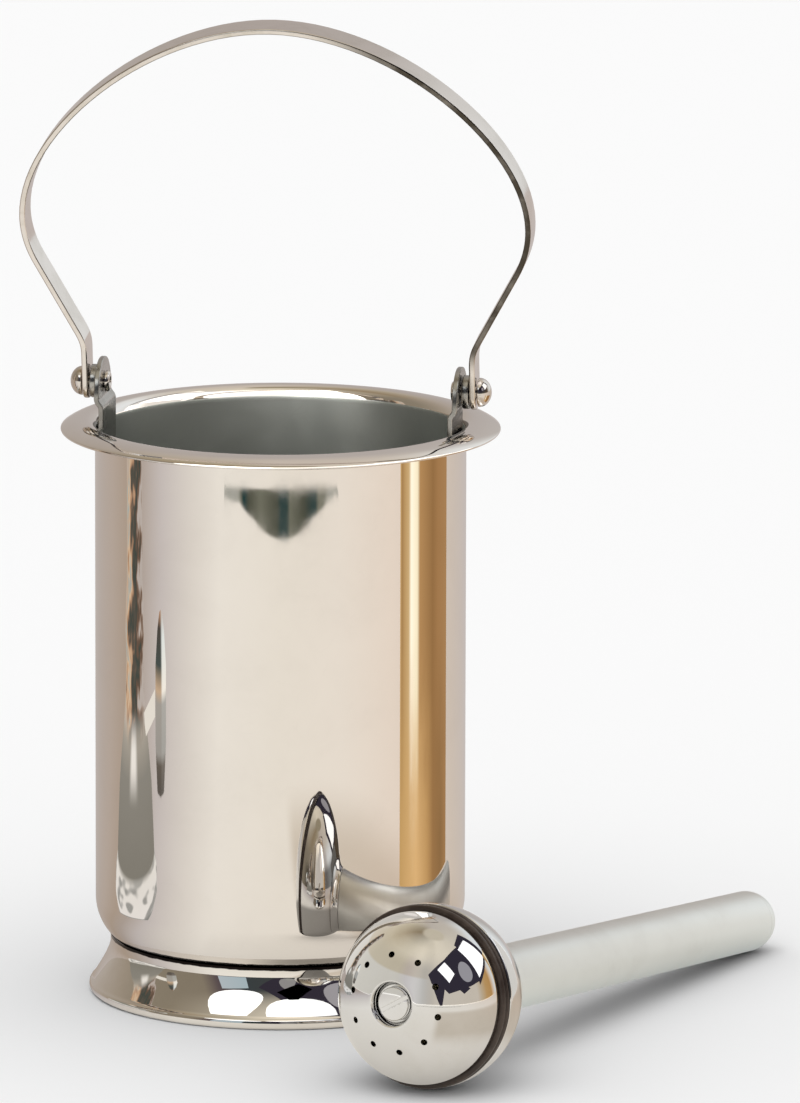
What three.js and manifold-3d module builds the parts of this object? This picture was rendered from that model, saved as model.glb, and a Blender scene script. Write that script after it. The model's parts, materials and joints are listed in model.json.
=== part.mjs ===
// Holy water bucket with its sprinkler, in millimetres, +Z up.
// The bucket stands on a flared foot ring and is carried by a strap bail that turns on two rivets.
// The sprinkler lies beside it: a hollow ball head with a pierced cap, on a tapered tube handle.
// The bail's axis runs along X. The origin is under the middle of the whole set, on the table.
import * as THREE from 'three';
import { mergeVertices } from 'three/addons/utils/BufferGeometryUtils.js';
import Module from 'manifold-3d';

const wasm = await Module();
wasm.setup();

// Clearances and cutting allowances
const gap = 0.3;
const overrun = 2;
const weldDistance = 0.0003;

// Bucket body: drawn sheet with a rounded bottom corner and a rolled-out brim
const bodyRadius = 50.8;
const sheet = 0.9;
const bodyHeight = 159.5;
const bottomCorner = 14;
const bottomHeight = 12.4;
const brimRadius = 60;
const brimDrop = 2.1;
const brimFillet = 3.4;

// Foot: spun ring with a waist under the body and a rolled bead on the table
const footRadius = 52.6;
const footSheet = 1.2;
const footNeckRadius = 46.7;
const footBead = 1.7;
const footRestWidth = 2.4;
const footFlangeInnerRadius = 40.5;
const footBeadAngle = 60;
const footFlareHeight = 5.8;
const footFlareInset = 0.85;
const footWaistHeight = 8.2;

// Ears: bent plates fixed inside the wall, one at each end of the bail's axis
const earThickness = 1.4;
const earWidth = 17;
const earJog = 1.5;
const earJogHeight = 3.2;
const earJogBelowPivot = 3.2;
const earAbovePivot = 6.7;
const earCorner = 5.5;
const earLegDepth = 22;
const earLegCorner = 3;

// Pivot: domed rivet through ear, washer and bail
const pivotAboveBrim = 9;
const shankRadius = 1.8;
const washerThickness = 1.8;
const washerRadius = 4.6;
const washerChamfer = 0.3;
const domeRadius = 4;
const domeHeight = 3.6;
const peenRadius = 2.9;
const peenHeight = 1.2;
const rivetBoreRadius = 0.95;
const rivetBoreDepth = 2.2;

// Bail: flat strap bent to a bow, leaning a little off upright
const strapWidth = 9.5;
const strapThickness = 1.6;
const bailHeight = 102.5;
const bailHalfWidth = 69.7;
const bailShoulderHeight = 48;
const bailKinkHeight = 12;
const bailKinkRadius = 3;
const bailStraightHeight = 35;
const bailStraightShare = 0.783;
const bailLean = 8;
const bowRiseShare = 0.45;
const bowTopShare = 0.48;

// Sprinkler head: rear shell, seal ring and pierced front cap
const shellRadius = 24.8;
const shellSheet = 0.9;
const sealRadius = 24.4;
const sealWidth = 3.6;
const sealCrown = 0.45;
const sealRingDepth = 1.9;
const sealLipRadius = 22.4;
const sealLipDepth = 1.3;
const sealLipReach = 2.6;
const capRadius = 23.5;
const capHeight = 17.6;
const capSheet = 0.9;
const sprayHoleCount = 10;
const sprayHoleRadius = 0.9;
const sprayCircleRadius = 13.1;
const sprayStartAngle = 26;
const seatRadius = 6;
const seatFloorRadius = 5;
const seatDepth = 2.7;

// Cap screw: slotted cheese head, held in the post
const screwHeadRadius = 4.5;
const screwHeadHeight = 1.5;
const screwHeadChamfer = 0.3;
const screwSlotWidth = 1.1;
const screwSlotDepth = 0.8;
const screwSlotAngle = 30;
const screwShankRadius = 1.9;
const screwShankLength = 10;

// Centre post, nut, plug and collar that hold the head on the handle
const postRadius = 3.2;
const postBoreDepth = 14;
const nutAcrossFlats = 11;
const nutHeight = 4.5;
const nutSides = 6;
const collarRadius = 12;
const collarLength = 5.2;
const collarLip = 0.6;
const plugLength = 14;
const plugChamfer = 0.5;

// Sponge inside the head
const spongeClearance = 1;
const spongeFrontDepth = 11.5;
const spongeBackDepth = 13.5;

// Handle: tapered tube with a domed end
const handleLength = 189;
const handleFrontRadius = 9.05;
const handleEndRadius = 8.4;
const handleWall = 1;
const endSpigotLength = 9;

// Where the sprinkler lies on the table, seen from above, measured from the bucket's axis
const sprinklerX = 57.4;
const sprinklerY = -111.2;
const sprinklerHeading = -19.6;

// Facets
const bodySides = 48;
const headSides = 36;
const smallSides = 20;
const holeSides = 8;
const cornerSteps = 4;
const ballSteps = 9;
const domeSteps = 7;
const bowSteps = 10;

// Heights that follow from the sizes above
const pivotHeight = bodyHeight + pivotAboveBrim;
const cornerCentreRadius = bodyRadius - bottomCorner;
const cornerCentreHeight = bottomHeight + bottomCorner;

// Places along the bail's axis, from the wall outwards
const wallInnerRadius = bodyRadius - sheet;
const earLegOuterX = Math.sqrt((wallInnerRadius - gap) ** 2 - (earWidth / 2) ** 2);
const earOuterX = earLegOuterX + earJog;
const washerInnerX = earOuterX + gap;
const strapInnerX = washerInnerX + washerThickness + gap;
const strapMiddleX = strapInnerX + strapThickness / 2;
const domeBaseX = strapInnerX + strapThickness + gap;
const peenOuterX = earOuterX - earThickness - gap;

const degrees = (angle) => THREE.MathUtils.degToRad(angle);

// The angle, in degrees, at which an arc of the given reach stands at a radius
const arcAngle = (radius, reach) => THREE.MathUtils.radToDeg(Math.acos(radius / reach));

const steel = () => new THREE.MeshStandardMaterial({ color: 0xd2c6bf, roughness: 0.12, metalness: 1 });
const satinSteel = () => new THREE.MeshStandardMaterial({ color: 0xc6c7c2, roughness: 0.35, metalness: 1 });
const chromed = () => new THREE.MeshStandardMaterial({ color: 0xd6d5d0, roughness: 0.08, metalness: 1 });
const rubber = () => new THREE.MeshStandardMaterial({ color: 0x2e2420, roughness: 0.6, metalness: 0 });
const spongeFoam = () => new THREE.MeshStandardMaterial({ color: 0xd9c98f, roughness: 0.95, metalness: 0 });

// Points on an elliptical arc in a profile plane, angles in degrees
function arc(centreR, centreZ, radiusR, radiusZ, from, to, steps = cornerSteps) {
  const points = [];
  for (let i = 0; i <= steps; i += 1) {
    const angle = degrees(from + ((to - from) * i) / steps);
    points.push([centreR + radiusR * Math.cos(angle), centreZ + radiusZ * Math.sin(angle)]);
  }
  return points;
}

// Keeps only positions, joins shared vertices and drops triangles with no area
function closed(geometry) {
  const bare = geometry.clone();
  bare.deleteAttribute('normal');
  bare.deleteAttribute('uv');
  const merged = mergeVertices(bare, weldDistance);
  const index = merged.index.array;
  const kept = [];
  for (let i = 0; i < index.length; i += 3) {
    const [a, b, c] = [index[i], index[i + 1], index[i + 2]];
    if (a !== b && b !== c && c !== a) kept.push(a, b, c);
  }
  merged.setIndex(kept);
  return merged;
}

// A body of revolution about Z from a profile of [radius, height] points, given anticlockwise
function revolve(profile, sides) {
  const outline = profile.map(([r, z]) => new THREE.Vector2(r, z));
  const last = outline[outline.length - 1];
  if (outline[0].x > 0 || last.x > 0) outline.push(outline[0].clone());
  const geometry = new THREE.LatheGeometry(outline, sides);
  geometry.rotateX(Math.PI / 2);
  return closed(geometry);
}

function toSolid(geometry) {
  const mesh = geometry.index ? geometry : closed(geometry);
  return new wasm.Manifold(new wasm.Mesh({
    numProp: 3,
    vertProperties: new Float32Array(mesh.attributes.position.array),
    triVerts: new Uint32Array(mesh.index.array),
  }));
}

function toGeometry(solid) {
  const mesh = solid.getMesh();
  const geometry = new THREE.BufferGeometry();
  const places = new Float32Array(mesh.vertProperties);
  geometry.setAttribute('position', new THREE.BufferAttribute(places, 3));
  geometry.setIndex(new THREE.BufferAttribute(new Uint32Array(mesh.triVerts), 1));
  return geometry;
}

function cut(geometry, ...tools) {
  return toGeometry(tools.reduce((solid, tool) => solid.subtract(toSolid(tool)), toSolid(geometry)));
}

function common(geometry, tool) {
  return toGeometry(toSolid(geometry).intersect(toSolid(tool)));
}

// A cylinder from z = from to z = to
function rod(radius, from, to, sides = smallSides) {
  const geometry = new THREE.CylinderGeometry(radius, radius, to - from, sides);
  geometry.rotateX(Math.PI / 2);
  geometry.translate(0, 0, (from + to) / 2);
  return closed(geometry);
}

// A flat outline in the profile plane, extruded by width and centred on its own plane
function plate(shape, width, curveSteps = cornerSteps) {
  const options = { depth: width, bevelEnabled: false, curveSegments: curveSteps };
  const geometry = new THREE.ExtrudeGeometry(shape, options);
  geometry.translate(0, 0, -width / 2);
  return closed(geometry);
}

function piece(name, geometry, material) {
  const mesh = new THREE.Mesh(geometry, material);
  mesh.name = name;
  return mesh;
}

// Cup of one sheet: outside up to the brim's edge, back over the crest and down the inside
function bucketBody() {
  const insideCorner = bottomCorner - sheet;
  const crestRadius = wallInnerRadius + brimFillet;
  const filletHeight = bodyHeight - brimFillet;
  const brimReach = brimRadius - crestRadius;
  const brimArc = (brimReach ** 2 + brimDrop ** 2) / (2 * brimDrop);
  const brimAngle = arcAngle(brimReach, brimArc);
  const brimCentre = bodyHeight - brimArc;
  const undersideArc = brimArc - sheet;
  return revolve([
    [0, bottomHeight],
    ...arc(cornerCentreRadius, cornerCentreHeight, bottomCorner, bottomCorner, -90, 0, cornerSteps + 1),
    ...arc(crestRadius, filletHeight, brimFillet - sheet, brimFillet - sheet, 180, 90),
    ...arc(crestRadius, brimCentre, undersideArc, undersideArc, 90, brimAngle).slice(1),
    ...arc(crestRadius, brimCentre, brimArc, brimArc, brimAngle, 90),
    ...arc(crestRadius, filletHeight, brimFillet, brimFillet, 90, 180).slice(1),
    ...arc(cornerCentreRadius, cornerCentreHeight, insideCorner, insideCorner, 0, -90, cornerSteps + 1),
    [0, bottomHeight + sheet],
  ], bodySides);
}

// Spun ring: bead, hollow waist and a flange that follows the body's rounded corner
function footRing() {
  const seatRadiusOuter = bottomCorner + gap;
  const seatRadiusInner = seatRadiusOuter + footSheet;
  const seatAngle = (radius, reach) => -arcAngle(radius - cornerCentreRadius, reach);
  const topAngle = seatAngle(footNeckRadius, seatRadiusOuter);
  const neckInner = footNeckRadius - footSheet;
  const beadCentre = footRadius - footBead;
  const bead = arc(beadCentre, footBead, footBead, footBead, -footBeadAngle, footBeadAngle);
  const waist = new THREE.CubicBezierCurve(
    new THREE.Vector2(...bead[bead.length - 1]),
    new THREE.Vector2(beadCentre - footFlareInset, footFlareHeight),
    new THREE.Vector2(footNeckRadius, footWaistHeight),
    new THREE.Vector2(footNeckRadius, bottomHeight + footSheet),
  ).getPoints(domeSteps).map((point) => [point.x, point.y]);
  const inner = waist.slice(1, -1).map(([r, z], i, all) => {
    const [r0, z0] = all[Math.max(i - 1, 0)];
    const [r1, z1] = all[Math.min(i + 1, all.length - 1)];
    const length = Math.hypot(r1 - r0, z1 - z0);
    return [r - (footSheet * (z1 - z0)) / length, z + (footSheet * (r1 - r0)) / length];
  });
  return revolve([
    [beadCentre - footRestWidth, 0],
    [beadCentre, 0],
    ...bead,
    ...waist.slice(1),
    ...arc(cornerCentreRadius, cornerCentreHeight, seatRadiusOuter, seatRadiusOuter,
      topAngle, seatAngle(footFlangeInnerRadius, seatRadiusOuter)),
    ...arc(cornerCentreRadius, cornerCentreHeight, seatRadiusInner, seatRadiusInner,
      seatAngle(footFlangeInnerRadius, seatRadiusInner), seatAngle(neckInner, seatRadiusInner)),
    ...inner.reverse(),
    [beadCentre - footRestWidth, footBead],
  ], bodySides);
}

// Ear at the +X end: side profile with its jog, cut to a round-cornered front outline
function ear() {
  const jogTop = pivotHeight - earJogBelowPivot;
  const jogBottom = jogTop - earJogHeight;
  const jogMiddle = (jogTop + jogBottom) / 2;
  const headInnerX = earOuterX - earThickness;
  const legInnerX = earLegOuterX - earThickness;
  const legBottom = bodyHeight - earLegDepth;
  const top = pivotHeight + earAbovePivot;
  const side = new THREE.Shape();
  side.moveTo(earLegOuterX, legBottom);
  side.lineTo(earLegOuterX, jogBottom);
  side.bezierCurveTo(earLegOuterX, jogMiddle, earOuterX, jogMiddle, earOuterX, jogTop);
  side.lineTo(earOuterX, top);
  side.lineTo(headInnerX, top);
  side.lineTo(headInnerX, jogTop);
  side.bezierCurveTo(headInnerX, jogMiddle, legInnerX, jogMiddle, legInnerX, jogBottom);
  side.lineTo(legInnerX, legBottom);
  const body = plate(side, earWidth).rotateX(Math.PI / 2);

  const half = earWidth / 2;
  const front = new THREE.Shape();
  front.moveTo(-half + earLegCorner, legBottom);
  front.lineTo(half - earLegCorner, legBottom);
  front.quadraticCurveTo(half, legBottom, half, legBottom + earLegCorner);
  front.lineTo(half, top - earCorner);
  front.quadraticCurveTo(half, top, half - earCorner, top);
  front.lineTo(-half + earCorner, top);
  front.quadraticCurveTo(-half, top, -half, top - earCorner);
  front.lineTo(-half, legBottom + earLegCorner);
  front.quadraticCurveTo(-half, legBottom, -half + earLegCorner, legBottom);
  const outline = plate(front, earOuterX).rotateX(Math.PI / 2).rotateZ(Math.PI / 2);
  const hole = rod(shankRadius + gap, -overrun, overrun).rotateY(Math.PI / 2);
  outline.translate(earOuterX, 0, 0);
  hole.translate(earOuterX, 0, pivotHeight);
  return cut(common(body, outline), hole);
}

// Rivet at the +X end, turned about its own axis: dome outside, peened hollow end inside
function pivotRivet() {
  const profile = [
    [0, peenOuterX + rivetBoreDepth - peenHeight],
    [rivetBoreRadius, peenOuterX + rivetBoreDepth - peenHeight],
    [rivetBoreRadius, peenOuterX - peenHeight],
    [peenRadius - peenHeight / 2, peenOuterX - peenHeight],
    [peenRadius, peenOuterX - peenHeight / 2],
    [peenRadius, peenOuterX],
    [shankRadius, peenOuterX],
    [shankRadius, domeBaseX],
    ...arc(0, domeBaseX, domeRadius, domeHeight, 0, 90),
  ];
  profile[profile.length - 1][0] = 0;
  return revolve(profile, smallSides).rotateY(Math.PI / 2).translate(0, 0, pivotHeight);
}

function spacerWasher() {
  const bore = shankRadius + gap;
  return revolve([
    [bore, washerInnerX],
    [washerRadius - washerChamfer, washerInnerX],
    [washerRadius, washerInnerX + washerChamfer],
    [washerRadius, washerInnerX + washerThickness - washerChamfer],
    [washerRadius - washerChamfer, washerInnerX + washerThickness],
    [bore, washerInnerX + washerThickness],
  ], smallSides).rotateY(Math.PI / 2).translate(0, 0, pivotHeight);
}

// Half of the bow's middle line, from the pivot at height zero to the top of the arch
function bailHalfLine() {
  const line = new THREE.Path();
  const spread = bailHalfWidth - strapMiddleX;
  const straightX = strapMiddleX + spread * bailStraightShare;
  const slope = Math.atan2(straightX - strapMiddleX, bailStraightHeight - bailKinkHeight);
  line.moveTo(strapMiddleX, -strapWidth / 2);
  line.lineTo(strapMiddleX, bailKinkHeight - bailKinkRadius);
  line.quadraticCurveTo(strapMiddleX, bailKinkHeight,
    strapMiddleX + bailKinkRadius * Math.sin(slope), bailKinkHeight + bailKinkRadius * Math.cos(slope));
  line.lineTo(straightX, bailStraightHeight);
  const bendHeight = bailStraightHeight + (bailHalfWidth - straightX) / Math.tan(slope);
  line.quadraticCurveTo(bailHalfWidth, bendHeight, bailHalfWidth, bailShoulderHeight);
  const rise = bailHeight - bailShoulderHeight;
  line.bezierCurveTo(bailHalfWidth, bailShoulderHeight + rise * bowRiseShare,
    bailHalfWidth * bowTopShare, bailHeight, 0, bailHeight);
  const points = line.getPoints(bowSteps);
  return points.filter((point, i) => i === 0 || point.distanceTo(points[i - 1]) > gap);
}

// The strap: the bow's line thickened both ways, widened, with round ends and rivet holes
function bail() {
  const half = bailHalfLine();
  const mirrored = half.slice(0, -1).reverse().map((point) => new THREE.Vector2(-point.x, point.y));
  const whole = [...half, ...mirrored];
  const offset = (distance) => whole.map((point, i) => {
    const before = whole[Math.max(i - 1, 0)];
    const after = whole[Math.min(i + 1, whole.length - 1)];
    const along = after.clone().sub(before).normalize();
    return new THREE.Vector2(point.x + along.y * distance, point.y - along.x * distance);
  });
  const band = new THREE.Shape([...offset(strapThickness / 2), ...offset(-strapThickness / 2).reverse()]);
  const strap = plate(band, strapWidth).rotateX(Math.PI / 2);

  const reach = strapMiddleX + strapThickness;
  const roundEnd = new THREE.Shape();
  roundEnd.absarc(0, 0, strapWidth / 2, Math.PI, 2 * Math.PI);
  roundEnd.lineTo(strapWidth, 0);
  roundEnd.lineTo(strapWidth, -strapWidth);
  roundEnd.lineTo(-strapWidth, -strapWidth);
  roundEnd.lineTo(-strapWidth, 0);
  const trim = plate(roundEnd, reach * 2, smallSides / 2).rotateX(Math.PI / 2).rotateZ(Math.PI / 2);
  const hole = rod(shankRadius + gap, -reach, reach).rotateY(Math.PI / 2);
  return cut(strap, trim, hole);
}

// Places on the head's axis, measured forward from the middle of the seal ring
const ballCentreZ = -(sealWidth / 2 + gap);
const capRimZ = sealWidth / 2 + gap;

// Ball-shaped back of the head, open in front, with a hole for the post
function rearShell() {
  const inner = shellRadius - shellSheet;
  const hole = postRadius + gap;
  return revolve([
    ...arc(0, ballCentreZ, shellRadius, shellRadius, -arcAngle(hole, shellRadius), 0, ballSteps),
    ...arc(0, ballCentreZ, inner, inner, 0, -arcAngle(hole, inner), ballSteps),
  ], headSides);
}

// Seal ring between shell and cap: a band that shows, and a lip inside both rims
function sealRing() {
  const half = sealWidth / 2;
  return revolve([
    [sealRadius - sealRingDepth, -half],
    [sealRadius - sealCrown, -half],
    [sealRadius, 0],
    [sealRadius - sealCrown, half],
    [sealRadius - sealRingDepth, half],
    [sealLipRadius - gap, half + sealLipReach],
    [sealLipRadius - sealLipDepth, half + sealLipReach],
    [sealLipRadius - sealLipDepth, -half - sealLipReach],
    [sealLipRadius - gap, -half - sealLipReach],
  ], headSides);
}

// Heights of the cap's crown over a radius, and of the floor of the screw's seat
const capCrownZ = (radius) => capRimZ + capHeight * Math.sqrt(1 - (radius / capRadius) ** 2);
const seatFloorZ = capCrownZ(seatRadius) - seatDepth;

// Pierced front cap: oval dome with a sunk seat for the screw and a ring of spray holes
function sprayCap() {
  const innerRadius = capRadius - capSheet;
  const innerHeight = capHeight - capSheet;
  const seatEdge = arcAngle(seatRadius, capRadius);
  const seatEdgeInside = arcAngle(seatRadius + capSheet, innerRadius);
  const shell = revolve([
    ...arc(0, capRimZ, capRadius, capHeight, 0, seatEdge, domeSteps),
    [seatFloorRadius, seatFloorZ],
    [screwShankRadius + gap, seatFloorZ],
    [screwShankRadius + gap, seatFloorZ - capSheet],
    [seatFloorRadius + capSheet / 2, seatFloorZ - capSheet],
    ...arc(0, capRimZ, innerRadius, innerHeight, seatEdgeInside, 0, domeSteps),
  ], headSides);
  const crownRun = capRadius * Math.sqrt(capRadius ** 2 - sprayCircleRadius ** 2);
  const holeSlope = Math.atan2(capHeight * sprayCircleRadius, crownRun);
  const holes = [];
  for (let i = 0; i < sprayHoleCount; i += 1) {
    const turn = degrees(sprayStartAngle + (360 * i) / sprayHoleCount);
    const drill = rod(sprayHoleRadius, -overrun, overrun, holeSides).rotateY(holeSlope);
    holes.push(drill.translate(sprayCircleRadius, 0, capCrownZ(sprayCircleRadius)).rotateZ(turn));
  }
  return cut(shell, ...holes);
}

function capScrew() {
  const headBottom = seatFloorZ + gap;
  const headTop = headBottom + screwHeadHeight;
  const blank = revolve([
    [0, headBottom - screwShankLength],
    [screwShankRadius, headBottom - screwShankLength],
    [screwShankRadius, headBottom],
    [screwHeadRadius, headBottom],
    [screwHeadRadius, headTop - screwHeadChamfer],
    [screwHeadRadius - screwHeadChamfer, headTop],
    [0, headTop],
  ], smallSides);
  const slotLength = 2 * (screwHeadRadius + overrun);
  const slot = closed(new THREE.BoxGeometry(slotLength, screwSlotWidth, 2 * screwSlotDepth));
  return cut(blank, slot.translate(0, 0, headTop).rotateZ(degrees(screwSlotAngle)));
}

// Post from inside the handle to the back of the cap, drilled in front for the screw
const postFrontZ = seatFloorZ - capSheet - gap;
const shellBackZ = ballCentreZ - shellRadius;
const collarFrontZ = ballCentreZ - Math.sqrt((shellRadius + gap) ** 2 - collarRadius ** 2);
const collarBackZ = shellBackZ - gap - (collarLength - (collarFrontZ - shellBackZ));
const tubeFrontZ = collarBackZ - gap;
const plugBackZ = tubeFrontZ - plugLength;

function centrePost() {
  const bore = screwShankRadius + gap;
  return revolve([
    [0, plugBackZ],
    [postRadius, plugBackZ],
    [postRadius, postFrontZ],
    [bore, postFrontZ],
    [bore, postFrontZ - postBoreDepth],
    [0, postFrontZ - postBoreDepth],
  ], smallSides);
}

// Turned collar: dished in front for the ball, hollowed outside down to the handle's radius
function handleCollar() {
  const seat = shellRadius + gap;
  const bore = postRadius + gap;
  const outside = new THREE.QuadraticBezierCurve(
    new THREE.Vector2(handleFrontRadius + collarLip, collarBackZ + collarLip),
    new THREE.Vector2(handleFrontRadius + collarLip, collarFrontZ - collarLip),
    new THREE.Vector2(collarRadius, collarFrontZ),
  ).getPoints(cornerSteps).map((point) => [point.x, point.y]);
  return revolve([
    [bore, collarBackZ],
    [handleFrontRadius, collarBackZ],
    ...outside,
    ...arc(0, ballCentreZ, seat, seat, -arcAngle(collarRadius, seat), -arcAngle(bore, seat)).slice(1),
  ], headSides);
}

// Nut inside the ball that draws shell and collar against the plug
function postNut() {
  const top = shellBackZ + shellSheet + nutAcrossFlats ** 2 / (8 * shellRadius) + gap * 2 + nutHeight;
  const across = nutAcrossFlats / Math.sqrt(3);
  const bottom = top - nutHeight;
  return cut(rod(across, bottom, top, nutSides), rod(postRadius + gap, bottom - overrun, top + overrun));
}

// Plug inside the front of the tube, bored for the post
function handlePlug() {
  const bore = postRadius + gap;
  const radius = (handleFrontRadius + handleEndRadius) / 2 - handleWall - gap;
  return revolve([
    [bore, plugBackZ],
    [radius - plugChamfer, plugBackZ],
    [radius, plugBackZ + plugChamfer],
    [radius, tubeFrontZ],
    [bore, tubeFrontZ],
  ], smallSides);
}

// Sponge round the post, shaped to the ball with a clearance all round
function sponge() {
  const bore = postRadius + spongeClearance;
  const inner = sealLipRadius - sealLipDepth - spongeClearance;
  const back = shellRadius - shellSheet - spongeClearance;
  const front = capRadius - capSheet - spongeClearance;
  const backRadius = Math.sqrt(back ** 2 - (spongeBackDepth + ballCentreZ) ** 2);
  const frontRise = (spongeFrontDepth - capRimZ) / (capHeight - capSheet);
  const frontRadius = front * Math.sqrt(1 - frontRise ** 2) - spongeClearance;
  const bulge = sealWidth / 2 + sealLipReach;
  return revolve([
    [bore, -spongeBackDepth],
    [backRadius - spongeClearance, -spongeBackDepth],
    [inner, -bulge],
    [inner, bulge],
    [frontRadius - spongeClearance, spongeFrontDepth],
    [bore, spongeFrontDepth],
  ], headSides);
}

function handleTube() {
  return revolve([
    [handleEndRadius - handleWall, -handleLength],
    [handleEndRadius, -handleLength],
    [handleFrontRadius, tubeFrontZ],
    [handleFrontRadius - handleWall, tubeFrontZ],
  ], headSides);
}

// Domed end with a spigot inside the tube
function handleEndCap() {
  const shoulder = -handleLength - gap;
  const spigot = handleEndRadius - handleWall - gap;
  const profile = [
    ...arc(0, shoulder, handleEndRadius, handleEndRadius - gap, -90, 0, cornerSteps + 1),
    [spigot, shoulder],
    [spigot, shoulder + endSpigotLength],
    [0, shoulder + endSpigotLength],
  ];
  profile[0][0] = 0;
  return revolve(profile, headSides);
}

// Bucket, upright on its foot
const bucket = new THREE.Group();
bucket.add(piece('bucket_body', bucketBody(), steel()));
bucket.add(piece('foot_ring', footRing(), steel()));
for (const [side, turn] of [['right', 0], ['left', Math.PI]]) {
  const end = new THREE.Group();
  end.rotation.z = turn;
  end.add(piece(`ear_${side}`, ear(), steel()));
  end.add(piece(`pivot_rivet_${side}`, pivotRivet(), chromed()));
  end.add(piece(`spacer_washer_${side}`, spacerWasher(), steel()));
  bucket.add(end);
}
const bow = piece('bail', bail(), steel());
bow.position.z = pivotHeight;
bow.rotation.x = degrees(bailLean);
bucket.add(bow);

// Sprinkler, modelled with its head's axis along its own Z, then laid on its ball and its handle's end
const sprinkler = new THREE.Group();
sprinkler.add(piece('spray_cap', sprayCap(), chromed()));
sprinkler.add(piece('cap_screw', capScrew(), chromed()));
sprinkler.add(piece('cap_seal', sealRing(), rubber()));
sprinkler.add(piece('rear_shell', rearShell(), chromed()));
sprinkler.add(piece('sponge', sponge(), spongeFoam()));
sprinkler.add(piece('centre_post', centrePost(), satinSteel()));
sprinkler.add(piece('post_nut', postNut(), satinSteel()));
sprinkler.add(piece('handle_collar', handleCollar(), chromed()));
sprinkler.add(piece('handle_plug', handlePlug(), satinSteel()));
sprinkler.add(piece('handle_tube', handleTube(), satinSteel()));
sprinkler.add(piece('handle_end_cap', handleEndCap(), satinSteel()));
const droop = Math.asin((shellRadius - handleEndRadius) / (handleLength + gap + ballCentreZ));
sprinkler.rotation.set(Math.PI / 2 - droop, 0, degrees(sprinklerHeading), 'ZYX');
sprinkler.position.set(sprinklerX, sprinklerY, shellRadius - ballCentreZ * Math.sin(droop));

// The whole set, moved so that the origin lies under its middle
const set = new THREE.Group();
set.add(bucket, sprinkler);
set.updateMatrixWorld(true);
const extent = new THREE.Box3().setFromObject(set, true);
const middle = extent.getCenter(new THREE.Vector3());
set.position.set(-middle.x, -middle.y, -extent.min.z);

const holyWaterSet = new THREE.Group();
holyWaterSet.add(set);
holyWaterSet.updateMatrixWorld(true);

export default holyWaterSet;
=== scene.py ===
import json
import math

import bpy
from mathutils import Matrix, Vector

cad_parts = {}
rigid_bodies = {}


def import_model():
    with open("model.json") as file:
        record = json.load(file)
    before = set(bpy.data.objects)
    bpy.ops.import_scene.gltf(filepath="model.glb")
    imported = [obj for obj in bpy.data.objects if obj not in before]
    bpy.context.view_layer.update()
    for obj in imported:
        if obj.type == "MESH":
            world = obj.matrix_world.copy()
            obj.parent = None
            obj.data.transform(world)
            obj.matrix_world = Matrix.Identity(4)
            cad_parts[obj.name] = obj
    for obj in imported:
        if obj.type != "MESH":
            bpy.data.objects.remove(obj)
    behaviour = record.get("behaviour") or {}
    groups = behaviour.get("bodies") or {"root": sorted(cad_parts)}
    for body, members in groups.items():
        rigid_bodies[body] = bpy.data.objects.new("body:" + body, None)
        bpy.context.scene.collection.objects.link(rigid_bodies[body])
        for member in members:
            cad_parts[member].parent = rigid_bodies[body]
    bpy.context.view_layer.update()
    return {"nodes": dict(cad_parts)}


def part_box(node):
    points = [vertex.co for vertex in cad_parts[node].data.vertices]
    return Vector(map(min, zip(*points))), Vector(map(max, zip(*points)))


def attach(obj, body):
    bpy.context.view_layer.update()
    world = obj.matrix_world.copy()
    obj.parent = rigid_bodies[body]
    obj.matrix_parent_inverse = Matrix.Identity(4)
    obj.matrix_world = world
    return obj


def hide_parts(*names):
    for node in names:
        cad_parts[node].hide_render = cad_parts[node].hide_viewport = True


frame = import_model()

MM = 0.001
UP = Vector((0, 0, 1))


def millimetres(*numbers):
    """A vector in metres from numbers in millimetres."""
    return Vector(numbers) * MM


def middle(node):
    """The middle of a CAD node's box, in metres."""
    low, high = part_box(node)
    return (low + high) / 2


# The bucket stands on this axis, and the bail turns at this height above the table
bucket_axis = Matrix.Translation((*middle("bucket_body").xy, 0))
PIVOT_HEIGHT = 168.5
BAIL_LEAN = math.radians(8)

# The sprinkler's own frame: Z runs along the handle towards the cap, from the middle of the seal ring
SHELL_RADIUS = 24.8
HANDLE_END_RADIUS = 8.4
HANDLE_LENGTH = 189
GAP = 0.3
SEAL_WIDTH = 3.6
BALL_CENTRE = -(SEAL_WIDTH / 2 + GAP)
CAP_RIM = SEAL_WIDTH / 2 + GAP
DROOP = math.asin((SHELL_RADIUS - HANDLE_END_RADIUS) / (HANDLE_LENGTH + GAP + BALL_CENTRE))
HEADING = math.radians(-19.6)
sprinkler_turn = Matrix.Rotation(HEADING, 4, "Z") @ Matrix.Rotation(math.pi / 2 - DROOP, 4, "X")
sprinkler_place = Matrix.Translation(middle("cap_seal")) @ sprinkler_turn

# Camera: a long lens far off, a little above the brim and turned so that both ears show
VIEW_YAW = math.radians(9.3)
CAMERA_DISTANCE = 3650
CAMERA_HEIGHT = 842.5
LENS = 443.2
SENSOR = 36
AIM_RIGHT = math.radians(0.5135)
AIM_DOWN = math.radians(11.1585)
ROLL = math.radians(0.15)
FAR_CLIP = 60

picture_right = Vector((math.cos(VIEW_YAW), math.sin(VIEW_YAW), 0))
picture_away = Vector((-math.sin(VIEW_YAW), math.cos(VIEW_YAW), 0))


def placed(right, away, height):
    """A point given from the bucket's foot as the camera sees it, in millimetres."""
    flat = picture_right * right + picture_away * away
    return bucket_axis.translation + (flat + UP * height) * MM


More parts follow.
